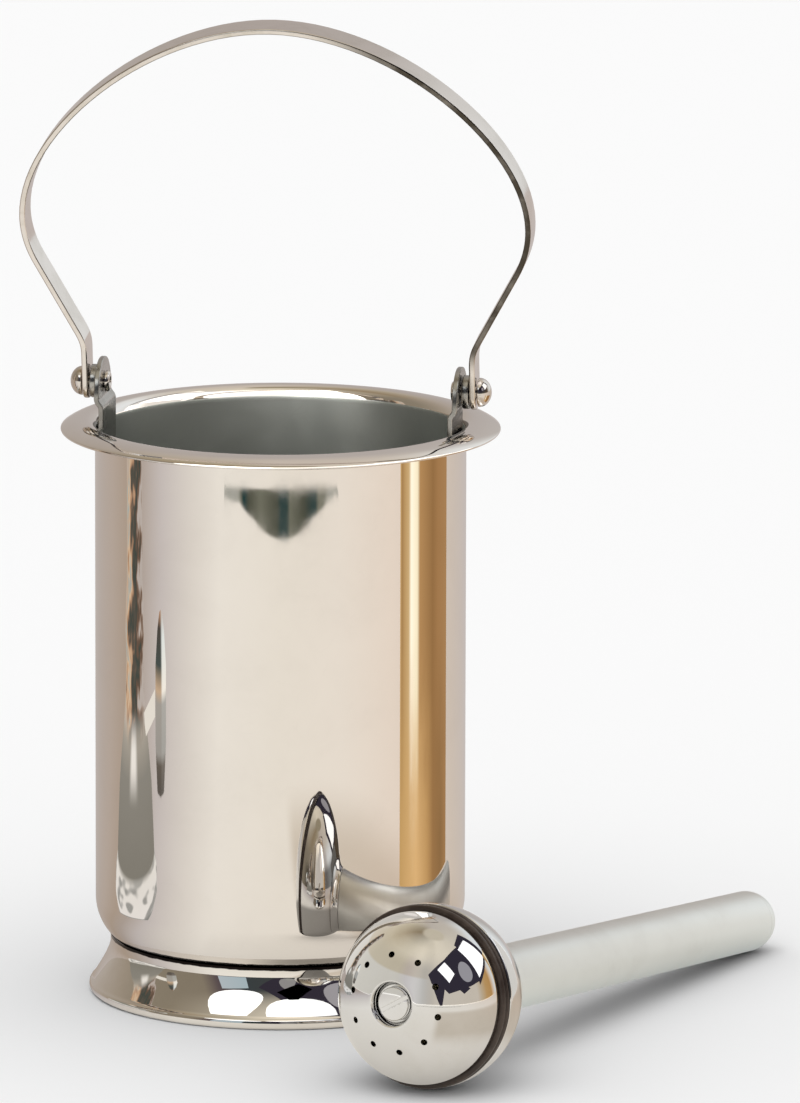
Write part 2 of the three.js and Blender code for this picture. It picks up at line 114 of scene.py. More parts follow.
camera_data = bpy.data.cameras.new("photo_camera")
camera_data.lens = LENS
camera_data.sensor_width = SENSOR
camera_data.clip_end = FAR_CLIP
camera = bpy.data.objects.new("photo_camera", camera_data)
bpy.context.collection.objects.link(camera)
camera.location = placed(0, -CAMERA_DISTANCE, CAMERA_HEIGHT)
aim = (Matrix.Rotation(VIEW_YAW - AIM_RIGHT, 4, "Z")
       @ Matrix.Rotation(math.pi / 2 - AIM_DOWN, 4, "X")
       @ Matrix.Rotation(ROLL, 4, "Z"))
camera.rotation_euler = aim.to_euler()
bpy.context.scene.camera = camera
bpy.context.scene.view_settings.view_transform = "Standard"
bpy.context.scene.cycles.caustics_reflective = False
bpy.context.scene.cycles.caustics_refractive = False


# Modelling by hand

# Sides of a turned shape, by its size, and how close points lie that a seam merges
BROAD = 160
MEDIUM = 128
NARROW = 96
SLIM = 64
SMALL = 48
TINY = 32
SEAM = 0.002


def only(piece):
    """Selects one piece and nothing else."""
    bpy.ops.object.select_all(action="DESELECT")
    piece.select_set(True)
    bpy.context.view_layer.objects.active = piece


def edit(piece):
    """Opens one piece in edit mode with all of its points selected."""
    only(piece)
    bpy.ops.object.mode_set(mode="EDIT")
    bpy.ops.mesh.select_mode(type="VERT")
    bpy.ops.mesh.select_all(action="SELECT")


def done():
    bpy.ops.object.mode_set(mode="OBJECT")


def named(name):
    """Names the primitive that was just added."""
    piece = bpy.context.active_object
    piece.name = piece.data.name = name
    return piece


def arc(centre_r, centre_z, radius_r, radius_z, start, end, steps=8):
    """Points of an oval arc in a profile plane, angles in degrees."""
    turns = [math.radians(start + (end - start) * i / steps) for i in range(steps + 1)]
    return [(centre_r + radius_r * math.cos(t), centre_z + radius_z * math.sin(t)) for t in turns]


def swing(a, b, c, d, steps=10):
    """Points of a free curve from a to d, drawn towards b and c."""
    points = []
    for i in range(steps + 1):
        t = i / steps
        s = 1 - t
        weights = (s ** 3, 3 * s * s * t, 3 * s * t * t, t ** 3)
        points.append(tuple(sum(w * p[k] for w, p in zip(weights, (a, b, c, d))) for k in (0, 1)))
    return points


def draw(name, profile):
    """A wire in the XZ plane: one point, extruded from place to place."""
    places = [millimetres(across, 0, height) for across, height in profile]
    bpy.ops.object.select_all(action="DESELECT")
    bpy.ops.mesh.primitive_plane_add(size=MM)
    piece = named(name)
    edit(piece)
    bpy.ops.mesh.merge(type="CENTER")
    bpy.ops.transform.translate(value=places[0])
    for before, after in zip(places, places[1:]):
        bpy.ops.mesh.extrude_region_move(TRANSFORM_OT_translate={"value": after - before})
    done()
    return piece


def spin(piece, sides):
    """Turns a profile round Z, closes seam and poles, and faces it outwards."""
    edit(piece)
    bpy.ops.mesh.spin(steps=sides, angle=2 * math.pi, center=(0, 0, 0), axis=(0, 0, 1))
    bpy.ops.mesh.select_all(action="SELECT")
    bpy.ops.mesh.remove_doubles(threshold=SEAM * MM)
    bpy.ops.mesh.normals_make_consistent(inside=False)
    done()
    return piece


def turned(name, profile, sides):
    """A profile drawn and spun round Z."""
    return spin(draw(name, profile), sides)


def modified(piece, kind, **settings):
    """Adds a modifier with its settings and applies it."""
    only(piece)
    bpy.ops.object.modifier_add(type=kind)
    modifier = piece.modifiers[-1]
    for key, value in settings.items():
        setattr(modifier, key, value)
    bpy.ops.object.modifier_apply(modifier=modifier.name)
    return piece


def smooth(piece, angle=32):
    only(piece)
    bpy.ops.object.shade_smooth_by_angle(angle=math.radians(angle))
    return piece


def cut(piece, tool):
    """Takes the tool's shape out of the piece and removes the tool."""
    modified(piece, "BOOLEAN", object=tool, operation="DIFFERENCE", solver="EXACT")
    bpy.data.objects.remove(tool)
    return piece


def drill(radius, start, end, turn, sides=TINY):
    """A rod from start to end along its own Z, set in place by a matrix."""
    bpy.ops.object.select_all(action="DESELECT")
    bpy.ops.mesh.primitive_cylinder_add(vertices=sides, radius=radius * MM, depth=(end - start) * MM,
                                        location=(0, 0, (start + end) / 2 * MM))
    tool = named("drill")
    bpy.ops.object.transform_apply()
    tool.data.transform(turn)
    return tool


def set_down(piece, place):
    """Puts the finished mesh in its place, with its object at the origin."""
    piece.matrix_world = place
    only(piece)
    bpy.ops.object.transform_apply(location=True, rotation=True, scale=True)
    return piece


def finish_piece(piece, body, slot, node_name, *looks):
    """Gives a piece its looks, keeps which face has which, and sets it in its CAD node's place."""
    index = [face.material_index for face in piece.data.polygons]
    piece.data.materials.clear()
    for look in looks:
        piece.data.materials.append(look)
    for face, which in zip(piece.data.polygons, index):
        face.material_index = which
    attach(piece, body)
    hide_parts(node_name)
    return piece


# Shader parts

def feed(tree, socket, value):
    """Links a socket to another one, or sets it to a number, a vector or a colour."""
    if isinstance(value, bpy.types.NodeSocket):
        tree.links.new(value, socket)
    elif socket.type == "RGBA":
        socket.default_value = (*value, 1)
    else:
        socket.default_value = value


def node(tree, kind, *values, **settings):
    """A node. Values feed its sockets in their order. A setting named as a socket, with _ for
    a space, feeds that one, and any other sets the node's own property."""
    made = tree.nodes.new(kind)
    for key, value in settings.items():
        label = key.replace("_", " ")
        if label in made.inputs:
            feed(tree, made.inputs[label], value)
        else:
            setattr(made, key, value)
    for socket, value in zip(made.inputs, values):
        feed(tree, socket, value)
    return made


def math_node(tree, operation, *values):
    """What an operation makes of one or two values."""
    return node(tree, "ShaderNodeMath", *values, operation=operation).outputs[0]


def times(tree, product, *factors):
    """The product of two or more values."""
    for factor in factors:
        product = math_node(tree, "MULTIPLY", product, factor)
    return product


def split(tree, vector):
    """A vector's parts, by the names X, Y and Z."""
    return node(tree, "ShaderNodeSeparateXYZ", vector).outputs


def noise(tree, vector, **settings):
    """Cloudy noise from 0 to 1."""
    return node(tree, "ShaderNodeTexNoise", vector, **settings).outputs["Fac"]


def map_range(tree, value, **settings):
    """Takes a value from one range to another and holds it at the ends."""
    return node(tree, "ShaderNodeMapRange", value, **settings).outputs["Result"]


def ranged(tree, share, low, high):
    """From low to high as the share goes from 0 to 1."""
    return map_range(tree, share, To_Min=low, To_Max=high)


def stepped(tree, value, start, end):
    """0 before the start and 1 past the end, with a soft step between them."""
    return map_range(tree, value, interpolation_type="SMOOTHSTEP", From_Min=start, From_Max=end)


def blend(tree, share, first, second, **settings):
    """The first colour where the share is 0 and the second where it is 1."""
    made = node(tree, "ShaderNodeMix", data_type="RGBA", Factor=share, **settings)
    for socket, colour in zip(made.inputs[6:8], (first, second)):
        feed(tree, socket, colour)
    return made.outputs[2]


def group(name, output, **inputs):
    """A node group with a Vector and the given inputs and with one output: the group, its inputs
    by name, and the socket that its result goes to."""
    made = bpy.data.node_groups.new(name, "ShaderNodeTree")
    made.interface.new_socket(name="Vector", in_out="INPUT", socket_type="NodeSocketVector")
    for label, value in inputs.items():
        kind = "NodeSocketVector" if isinstance(value, tuple) else "NodeSocketFloat"
        socket = made.interface.new_socket(name=label, in_out="INPUT", socket_type=kind)
        socket.default_value = value
    made.interface.new_socket(name=output, in_out="OUTPUT", socket_type="NodeSocketFloat")
    return made, made.nodes.new("NodeGroupInput").outputs, made.nodes.new("NodeGroupOutput").inputs[output]


def smudges():
    """Handling marks: soft cloudy patches with a few finer ones in them, from 0 to 1."""
    tree, given, result = group("smudges", "Mask", Scale=40.0)
    finer = 6.3
    strength = 1.6
    broad = noise(tree, given["Vector"], Scale=given["Scale"], Detail=3.0, Roughness=0.55, Distortion=0.6)
    fine = noise(tree, given["Vector"], Scale=times(tree, given["Scale"], finer), Detail=5.0, Roughness=0.65)
    feed(tree, result, times(tree, stepped(tree, broad, 0.38, 0.72), fine, strength))
    return tree


def polish_lines():
    """Fine lines left by the polishing wheel: noise drawn out across the Stretch vector."""
    tree, given, result = group("polish_lines", "Height", Stretch=(60.0, 60.0, 4000.0))
    drawn_out = node(tree, "ShaderNodeVectorMath", given["Vector"], given["Stretch"], operation="MULTIPLY")
    feed(tree, result, noise(tree, drawn_out.outputs["Vector"], Scale=1.0, Detail=4.0, Roughness=0.7))
    return tree


def sheet_wave():
    """The slow unevenness of drawn and polished sheet."""
    tree, given, result = group("sheet_wave", "Height", Scale=18.0)
    feed(tree, result, noise(tree, given["Vector"], Scale=given["Scale"], Detail=1.0, Roughness=0.4))
    return tree


def hairlines():
    """Sparse short scratches in every direction, from 0 to 1."""
    tree, given, result = group("hairlines", "Mask", Scale=90.0)
    shift = (0.01, 0.01, 0.01)
    line_width = 0.012
    bent = node(tree, "ShaderNodeTexNoise", given["Vector"], Scale=given["Scale"], Detail=2.0)
    shifted = node(tree, "ShaderNodeVectorMath", bent.outputs["Color"], shift, given["Vector"],
                   operation="MULTIPLY_ADD")
    cells = node(tree, "ShaderNodeTexVoronoi", feature="DISTANCE_TO_EDGE", Vector=shifted.outputs["Vector"],
                 Scale=given["Scale"])
    thin = map_range(tree, cells.outputs["Distance"], From_Min=line_width, From_Max=0.0)
    feed(tree, result, times(tree, thin, stepped(tree, bent.outputs["Fac"], 0.52, 0.66)))
    return tree


def crease_shade_band():
    """Painted shade in a crease: a dark band between two heights with uneven edges."""
    tree, given, result = group("crease_shade_band", "Mask", Low=0.0, High=0.0)
    unevenness = 0.7 * MM
    edge = 0.18 * MM
    crumbs = noise(tree, given["Vector"], Scale=260.0, Detail=3.0)
    stray = times(tree, math_node(tree, "SUBTRACT", crumbs, 0.5), unevenness)
    height = math_node(tree, "ADD", split(tree, given["Vector"])["Z"], stray)
    above = math_node(tree, "DIVIDE", math_node(tree, "SUBTRACT", height, given["Low"]), edge)
    below = math_node(tree, "DIVIDE", math_node(tree, "SUBTRACT", given["High"], height), edge)
    band = node(tree, "ShaderNodeClamp", math_node(tree, "MINIMUM", above, below))
    feed(tree, result, band.outputs["Result"])
    return tree


SMUDGES = smudges()
POLISH_LINES = polish_lines()
SHEET_WAVE = sheet_wave()
HAIRLINES = hairlines()
CREASE_SHADE_BAND = crease_shade_band()


def material(name, colour, metallic, roughness):
    """A new material with its node tree and its shader."""
    made = bpy.data.materials.new(name)
    made.use_nodes = True
    shader = made.node_tree.nodes["Principled BSDF"]
    shader.inputs["Base Color"].default_value = (*colour, 1)
    shader.inputs["Metallic"].default_value = metallic
    shader.inputs["Roughness"].default_value = roughness
    return made, made.node_tree, shader


def use(tree, made_group, vector, **values):
    """Places a group in a material with its own values."""
    placed_group = tree.nodes.new("ShaderNodeGroup")
    placed_group.node_tree = made_group
    tree.links.new(vector, placed_group.inputs["Vector"])
    for key, value in values.items():
        placed_group.inputs[key].default_value = value
    return placed_group.outputs[0]


def own_place(tree, place=None):
    """Object coordinates, or the same in a piece's own frame."""
    coordinates = node(tree, "ShaderNodeTexCoord").outputs["Object"]
    if place is None:
        return coordinates
    return node(tree, "ShaderNodeMapping", coordinates, vector_type="TEXTURE",
                Location=place.to_translation(), Rotation=place.to_euler()).outputs["Vector"]


def bump(tree, shader, height, distance, after=None):
    """Raises the surface by a height, over another bump where one is given."""
    made = node(tree, "ShaderNodeBump", Strength=1.0, Distance=distance, Height=height)
    if after is not None:
        tree.links.new(after, made.inputs["Normal"])
    tree.links.new(made.outputs["Normal"], shader.inputs["Normal"])
    return made.outputs["Normal"]


# Painted shade colours for a crease and for an edge, how softly the edge's painted shade starts, and how
# much finer hairlines are than smudges
CREASE_SHADE_COLOUR = (0.012, 0.009, 0.008)
EDGE_SHADE_COLOUR = (0.075, 0.064, 0.05)
EDGE_SHADE_FADE = 8
HAIRLINE_SCALE = 2.2


def metal(name, clean, worn, rough, rough_worn, stretch, line_depth, wave_depth=0.0,
          place=None, smudge_scale=40.0, crease_shade=None, painted_edge_shade=None):
    """A worked metal: colour and roughness vary with handling, with the tool's fine lines in it, and painted
    shade in a crease and on an edge where asked.
    """
    made, tree, shader = material(name, clean, 1.0, rough)
    vector = own_place(tree, place)
    marks = use(tree, SMUDGES, vector, Scale=smudge_scale)
    scratches = use(tree, HAIRLINES, vector, Scale=smudge_scale * HAIRLINE_SCALE)
    wear = math_node(tree, "ADD", marks, times(tree, scratches, 0.5))
    colour = blend(tree, wear, clean, worn)
    # A nearly black band painted along a crease: painted shade where two parts meet
    if crease_shade:
        low, high = crease_shade
        mask = use(tree, CREASE_SHADE_BAND, vector, Low=low * MM, High=high * MM)
        colour = blend(tree, mask, colour, CREASE_SHADE_COLOUR)
    # A dark patch painted on an edge: painted shade that stands in for a dark reflection
    if painted_edge_shade:
        start, full, low = painted_edge_shade
        parts = split(tree, vector)
        across = stepped(tree, parts["X"], start * MM, full * MM)
        above = stepped(tree, parts["Z"], low * MM, (low + EDGE_SHADE_FADE) * MM)
        patches = math_node(tree, "SUBTRACT", 1.0, times(tree, marks, 0.3))
        colour = blend(tree, times(tree, across, above, patches), colour, EDGE_SHADE_COLOUR)
    feed(tree, shader.inputs["Base Color"], colour)
    feed(tree, shader.inputs["Roughness"], ranged(tree, wear, rough, rough_worn))
    normal = bump(tree, shader, use(tree, POLISH_LINES, vector, Stretch=stretch), line_depth * MM)
    if wave_depth:
        bump(tree, shader, use(tree, SHEET_WAVE, vector), wave_depth * MM, after=normal)
    return made


# How the polish lines are drawn out on a turned piece
ROUND = (50.0, 50.0, 5000.0)

# The bail's front edge has a painted dark reflection towards its right end: from here to here across, and
# above here
BAIL_SHADE_START = 8
BAIL_SHADE_FULL = 38
BAIL_SHADE_LOW = 174

# Body and foot get a nearly black band of painted shade along the crease where they meet
body_steel = metal("polished_bucket_steel", (0.90, 0.86, 0.82), (0.87, 0.83, 0.79), 0.012, 0.045,
                   ROUND, 0.00003, 0.003, crease_shade=(15.5, 17.3))
inside_steel = metal("brushed_inside_steel", (0.66, 0.68, 0.65), (0.60, 0.615, 0.585), 0.3, 0.38,
                     ROUND, 0.004)
foot_steel = metal("polished_foot_steel", (0.90, 0.87, 0.83), (0.85, 0.81, 0.76), 0.012, 0.05,
                   ROUND, 0.00003, 0.003, crease_shade=(15.2, 17))
ear_steel = metal("brushed_ear_steel", (0.46, 0.455, 0.435), (0.36, 0.35, 0.325), 0.2, 0.34,
                  (900.0, 3000.0, 120.0), 0.0015, smudge_scale=90.0)
rivet_chrome = metal("rivet_chrome", (0.80, 0.76, 0.72), (0.68, 0.62, 0.56), 0.06, 0.16,
                     (600.0, 600.0, 600.0), 0.0004, smudge_scale=160.0)
strap_steel = metal("polished_strap_steel", (0.84, 0.79, 0.75), (0.74, 0.69, 0.64), 0.07, 0.17,
                    (120.0, 2600.0, 120.0), 0.0006, 0.004, smudge_scale=70.0)
# The bail's front edge: polished steel with a painted dark reflection on its right end
strap_edge = metal("strap_edge_painted_shade", (0.84, 0.79, 0.75), (0.70, 0.65, 0.58), 0.09, 0.22,
                   (120.0, 120.0, 120.0), 0.0006, 0.004, place=bucket_axis, smudge_scale=130.0,
                   painted_edge_shade=(BAIL_SHADE_START, BAIL_SHADE_FULL, BAIL_SHADE_LOW))
head_chrome = metal("head_chrome", (0.80, 0.80, 0.80), (0.75, 0.745, 0.73), 0.015, 0.06,
                    (90.0, 90.0, 2600.0), 0.00003, 0.002, place=sprinkler_place, smudge_scale=60.0)
handle_satin = metal("handle_satin", (0.83, 0.84, 0.82), (0.79, 0.795, 0.775), 0.40, 0.48,
                     (2200.0, 2200.0, 160.0), 0.0012, place=sprinkler_place, smudge_scale=50.0)
# Near-black metal in the rivets' hollow ends: painted shade
rivet_hollow_shade = metal("rivet_hollow_painted_shade", (0.03, 0.028, 0.026), (0.05, 0.045, 0.04), 0.4, 0.6,
                     (600.0, 600.0, 600.0), 0.002, smudge_scale=200.0)
inner_satin = metal("inner_satin_steel", (0.58, 0.58, 0.56), (0.45, 0.44, 0.41), 0.3, 0.42,
                    (200.0, 200.0, 3000.0), 0.002, place=sprinkler_place, smudge_scale=120.0)


def rubber():
    """Dark seal rubber, dusty where it is handled, with fine moulding lines."""
    black, dusty = (0.032, 0.020, 0.015), (0.075, 0.052, 0.038)
    made, tree, shader = material("seal_rubber", black, 0.0, 0.34)
    vector = own_place(tree, sprinkler_place)
    marks = use(tree, SMUDGES, vector, Scale=110.0)
    feed(tree, shader.inputs["Base Color"], blend(tree, marks, black, dusty))
    feed(tree, shader.inputs["Roughness"], ranged(tree, marks, 0.28, 0.5))
    bump(tree, shader, use(tree, POLISH_LINES, vector, Stretch=(400.0, 400.0, 1600.0)), 0.01 * MM)
    return made


def foam():
    """Yellow foam, brown in its pores."""
    made, tree, shader = material("sponge_foam", (0.62, 0.50, 0.26), 0.0, 0.9)
    pores = node(tree, "ShaderNodeTexVoronoi", own_place(tree, sprinkler_place), Scale=900.0)
    raised = map_range(tree, pores.outputs["Distance"], From_Min=0.15, From_Max=0.6)
    feed(tree, shader.inputs["Base Color"], blend(tree, raised, (0.24, 0.17, 0.07), (0.70, 0.58, 0.33)))
    bump(tree, shader, raised, 0.4 * MM)
    return made


seal_rubber = rubber()
sponge_foam = foam()


# Bucket

BODY_RADIUS = 50.8
SHEET = 0.9
BODY_HEIGHT = 159.5
CORNER = 14
FLOOR_HEIGHT = 12.4
BRIM_RADIUS = 60
BRIM_DROP = 2.1
BRIM_FILLET = 3.4
WALL_RADIUS = BODY_RADIUS - SHEET
CORNER_R = BODY_RADIUS - CORNER
CORNER_Z = FLOOR_HEIGHT + CORNER


def bucket_body():
    """Cup of one sheet with a rolled-out brim whose edge is rounded."""
    crest = WALL_RADIUS + BRIM_FILLET
    fillet = BODY_HEIGHT - BRIM_FILLET
    reach = BRIM_RADIUS - crest
    bow = (reach ** 2 + BRIM_DROP ** 2) / (2 * BRIM_DROP)
    lean = math.degrees(math.acos(reach / bow))
    centre = BODY_HEIGHT - bow
    lip = SHEET / 2
    lip_r = crest + (bow - lip) * math.cos(math.radians(lean))
    lip_z = centre + (bow - lip) * math.sin(math.radians(lean))
    rings = (0.6, 8, 30, 60, 90, 110, 122, 129)
    wall = [(BODY_RADIUS, CORNER_Z + ring) for ring in rings]
    inner_wall = [(WALL_RADIUS, CORNER_Z + ring) for ring in reversed(rings)]
    profile = [(0, FLOOR_HEIGHT), (20, FLOOR_HEIGHT), (CORNER_R - 1, FLOOR_HEIGHT)]
    profile += arc(CORNER_R, CORNER_Z, CORNER, CORNER, -90, 0, 16) + wall
    profile += arc(crest, fillet, BRIM_FILLET - SHEET, BRIM_FILLET - SHEET, 180, 90, 8)
    profile += arc(crest, centre, bow - SHEET, bow - SHEET, 90, lean, 6)[1:]
    profile += arc(lip_r, lip_z, lip, lip, lean - 180, lean, 8)[1:-1]
    profile += arc(crest, centre, bow, bow, lean, 90, 8)
    profile += arc(crest, fillet, BRIM_FILLET, BRIM_FILLET, 90, 180, 10)[1:] + inner_wall
    profile += arc(CORNER_R, CORNER_Z, CORNER - SHEET, CORNER - SHEET, 0, -90, 14)
    profile += [(CORNER_R - 1, FLOOR_HEIGHT + SHEET), (20, FLOOR_HEIGHT + SHEET), (0, FLOOR_HEIGHT + SHEET)]
    piece = smooth(turned("bucket_body_skin", profile, BROAD))
    for face in piece.data.polygons:
        inward = face.normal.xy.dot(face.center.xy) < 0 or face.normal.z > 0.1
        low = face.center.z / MM < BODY_HEIGHT - BRIM_FILLET + 0.6
        face.material_index = 1 if inward and low else 0
    return piece


finish_piece(set_down(bucket_body(), bucket_axis), "bucket", "polished_steel", "bucket_body",
             body_steel, inside_steel)

FOOT_RADIUS = 52.6
FOOT_SHEET = 1.2
FOOT_NECK = 46.7
FOOT_BEAD = 1.7
FOOT_REST = 2.4
FOOT_FLANGE = 40.5


def foot_ring():
    """Spun ring: bead on the table, hollow waist, and a flange under the body's corner."""
    bead = FOOT_RADIUS - FOOT_BEAD
    seat = CORNER + GAP
    under = seat + FOOT_SHEET

    def seat_arc(reach, *radii):
        """Follows the body's corner at a distance, from one radius to another."""
        start, end = (-math.degrees(math.acos((radius - CORNER_R) / reach)) for radius in radii)
        return arc(CORNER_R, CORNER_Z, reach, reach, start, end, 8)

    outer = arc(bead, FOOT_BEAD, FOOT_BEAD, FOOT_BEAD, -90, 60, 12)
    top = FLOOR_HEIGHT + FOOT_SHEET
    inner_neck = FOOT_NECK - FOOT_SHEET
    waist = swing(outer[-1], (bead - 0.85, 5.8), (FOOT_NECK + 0.35, 10.5), (FOOT_NECK, top), 16)
    flange = seat_arc(seat, FOOT_NECK, FOOT_FLANGE)
    back = seat_arc(under, FOOT_FLANGE, inner_neck)
    inside = swing((inner_neck, top), (inner_neck, 8.2), (bead - 2.6, 5.2),
                   (bead - FOOT_REST, FOOT_BEAD), 10)
    profile = [(bead - FOOT_REST, 0)] + outer + waist[1:] + flange + back + inside + [(bead - FOOT_REST, 0)]
    return smooth(turned("foot_ring_skin", profile, BROAD))


finish_piece(set_down(foot_ring(), bucket_axis), "bucket", "polished_steel", "foot_ring", foot_steel)

# Ears, rivets and washers: modelled at the +X end, then turned round the axis for the other end
EAR_THICKNESS = 1.4
EAR_WIDTH = 17
EAR_HEAD = 20
EAR_JOG = 1.3
EAR_JOG_RUN = 3.2
EAR_LEG = 22
EAR_TOP = 6.7
EAR_HEAD_ROUND = 9.4
EAR_FOOT_ROUND = 3
SHANK = 1.8
PEEN_BORE = 0.95
PEEN_RADIUS = 2.9
DOME_RADIUS = 4
DOME_HEIGHT = 3.25
DOME_RIM = 0.4
WASHER = 2
WASHER_FLAT = 4.2
WASHER_EDGE = 0.4
STRAP_THICKNESS = 1.6
STRAP_WIDTH = 9.5
EAR_LEG_X = math.sqrt((WALL_RADIUS - GAP) ** 2 - (EAR_WIDTH / 2) ** 2)
EAR_X = EAR_LEG_X + EAR_JOG
STRAP_X = EAR_X + GAP + WASHER + GAP
STRAP_MIDDLE = STRAP_X + STRAP_THICKNESS / 2
DOME_X = STRAP_X + STRAP_THICKNESS + GAP
along_x = Matrix.Rotation(math.pi / 2, 4, "Y")
pivot_line = Matrix.Translation(millimetres(0, 0, PIVOT_HEIGHT)) @ along_x

# How close two measures in millimetres have to be to count as the same
NEAR = 0.01


def bevel_corners(piece, radius, segments, chosen):
    """Rounds the edges whose two ends, in millimetres, the test picks."""
    only(piece)
    bpy.ops.object.mode_set(mode="EDIT")
    bpy.ops.mesh.select_mode(type="EDGE")
    bpy.ops.mesh.select_all(action="DESELECT")
    bpy.ops.object.mode_set(mode="OBJECT")
    places = piece.data.vertices
    for line in piece.data.edges:
        a, b = (places[i].co / MM for i in line.vertices)
        line.select = chosen(a, b)
    bpy.ops.object.mode_set(mode="EDIT")
    bpy.ops.mesh.bevel(offset=radius * MM, segments=segments, affect="EDGES")
    done()
    return piece


def strip(name, profile, width, thickness):
    """A bent flat strip: its middle line, widened along Y and given its thickness."""
    piece = draw(name, profile)
    edit(piece)
    bpy.ops.transform.translate(value=millimetres(0, -width / 2, 0))
    bpy.ops.mesh.extrude_region_move(TRANSFORM_OT_translate={"value": millimetres(0, width, 0)})
    done()
    modified(piece, "SOLIDIFY", thickness=thickness * MM, offset=0.0, use_even_offset=True)
    edit(piece)
    bpy.ops.mesh.normals_make_consistent(inside=False)
    done()
    return piece


def soften(piece, width, angle=50):
    """Takes the sharpness off all edges and keeps the faces true."""
    modified(piece, "BEVEL", width=width * MM, segments=3, limit_method="ANGLE",
             angle_limit=math.radians(angle), use_clamp_overlap=True)
    smooth(piece, 40)
    modified(piece, "WEIGHTED_NORMAL", keep_sharp=True, weight=60)
    return piece


def ear(side):
    """Bent plate with a round head: its leg lies against the wall and its head carries the rivet."""
    jog_top = PIVOT_HEIGHT - EAR_JOG_RUN
    jog_bottom = jog_top - EAR_JOG_RUN
    jog_middle = (jog_top + jog_bottom) / 2
    leg_x = EAR_LEG_X - EAR_THICKNESS / 2
    head_x = EAR_X - EAR_THICKNESS / 2
    top = PIVOT_HEIGHT + EAR_TOP
    foot = BODY_HEIGHT - EAR_LEG
    profile = [(leg_x, foot), (leg_x, BODY_HEIGHT - 8)]
    profile += swing((leg_x, jog_bottom), (leg_x, jog_middle), (head_x, jog_middle), (head_x, jog_top), 10)
    profile += [(head_x, top)]
    piece = strip(f"ear_{side}_plate", profile, EAR_HEAD, EAR_THICKNESS)

    def through(a, b):
        return abs(a.y - b.y) < NEAR and abs(abs(a.y) - EAR_HEAD / 2) < NEAR and abs(a.z - b.z) < NEAR

    bevel_corners(piece, EAR_HEAD_ROUND, 12, lambda a, b: through(a, b) and a.z > top - 0.1)
    bevel_corners(piece, EAR_FOOT_ROUND, 5, lambda a, b: through(a, b) and a.z < foot + 0.1)
    cut(piece, drill(SHANK + GAP, EAR_X - 4, EAR_X + 2, pivot_line))
    return soften(piece, width=0.28)


def rivet(side):
    """Shop rivet: polished dome outside, peened end with its small hollow inside."""
    peen = EAR_X - EAR_THICKNESS - GAP
    rim_r = DOME_RADIUS - DOME_RIM
    rim_x = DOME_X + 0.35
    profile = [(0, peen + 1), (0.6, peen + 1), (0.9, peen + 0.7), (PEEN_BORE, peen - 0.9)]
    profile += arc(1.55, peen - 0.6, 0.6, 0.6, 180, 270, 5) + arc(2.1, peen - 0.4, 0.8, 0.8, -90, 0, 6)
    profile += [(PEEN_RADIUS, peen), (SHANK, peen), (SHANK, DOME_X), (rim_r, DOME_X)]
    profile += arc(rim_r, rim_x, DOME_RIM, 0.35, -90, 0, 4)[1:]
    profile += arc(0, rim_x, DOME_RADIUS, DOME_HEIGHT, 0, 90, 12)[1:]
    profile[-1] = (0, profile[-1][1])
    piece = smooth(turned(f"rivet_{side}_dome", profile, SMALL))
    # Faces in the peened end's hollow take the near-black look of painted shade
    for face in piece.data.polygons:
        hollow = face.center.xy.length < (PEEN_BORE + 0.02) * MM and face.center.z < (peen + 1.1) * MM
        face.material_index = 1 if hollow else 0
    piece.data.transform(pivot_line)
    return piece


def washer(side):
    """Spacer with rounded edges between ear and bail."""
    inner = EAR_X + GAP
    outer = inner + WASHER
    hole = SHANK + GAP
    profile = [(hole, inner), (WASHER_FLAT, inner)]
    profile += arc(WASHER_FLAT, inner + WASHER_EDGE, WASHER_EDGE, WASHER_EDGE, -90, 0, 4)[1:]
    profile += arc(WASHER_FLAT, outer - WASHER_EDGE, WASHER_EDGE, WASHER_EDGE, 0, 90, 4)
    profile += [(hole, outer), (hole, inner)]
    piece = smooth(turned(f"washer_{side}_turned", profile, SMALL))
    piece.data.transform(pivot_line)
    return piece


for side, turn in (("right", 0), ("left", math.pi)):
    end = bucket_axis @ Matrix.Rotation(turn, 4, "Z")
    finish_piece(set_down(ear(side), end), "bucket", "ear_steel", f"ear_{side}", ear_steel)
    finish_piece(set_down(rivet(side), end), "bucket", "rivet_steel", f"pivot_rivet_{side}",
                 rivet_chrome, rivet_hollow_shade)
    finish_piece(set_down(washer(side), end), "bucket", "ear_steel", f"spacer_washer_{side}", ear_steel)


# Bail

BAIL_HEIGHT = 102.5
BAIL_HALF = 69.7
SHOULDER = 48
KINK_HEIGHT = 12
KINK = 3
STRAIGHT_TOP = 35
STRAIGHT_SHARE = 0.783
FULL_SIDE = 0.45
FULL_TOP = 0.48


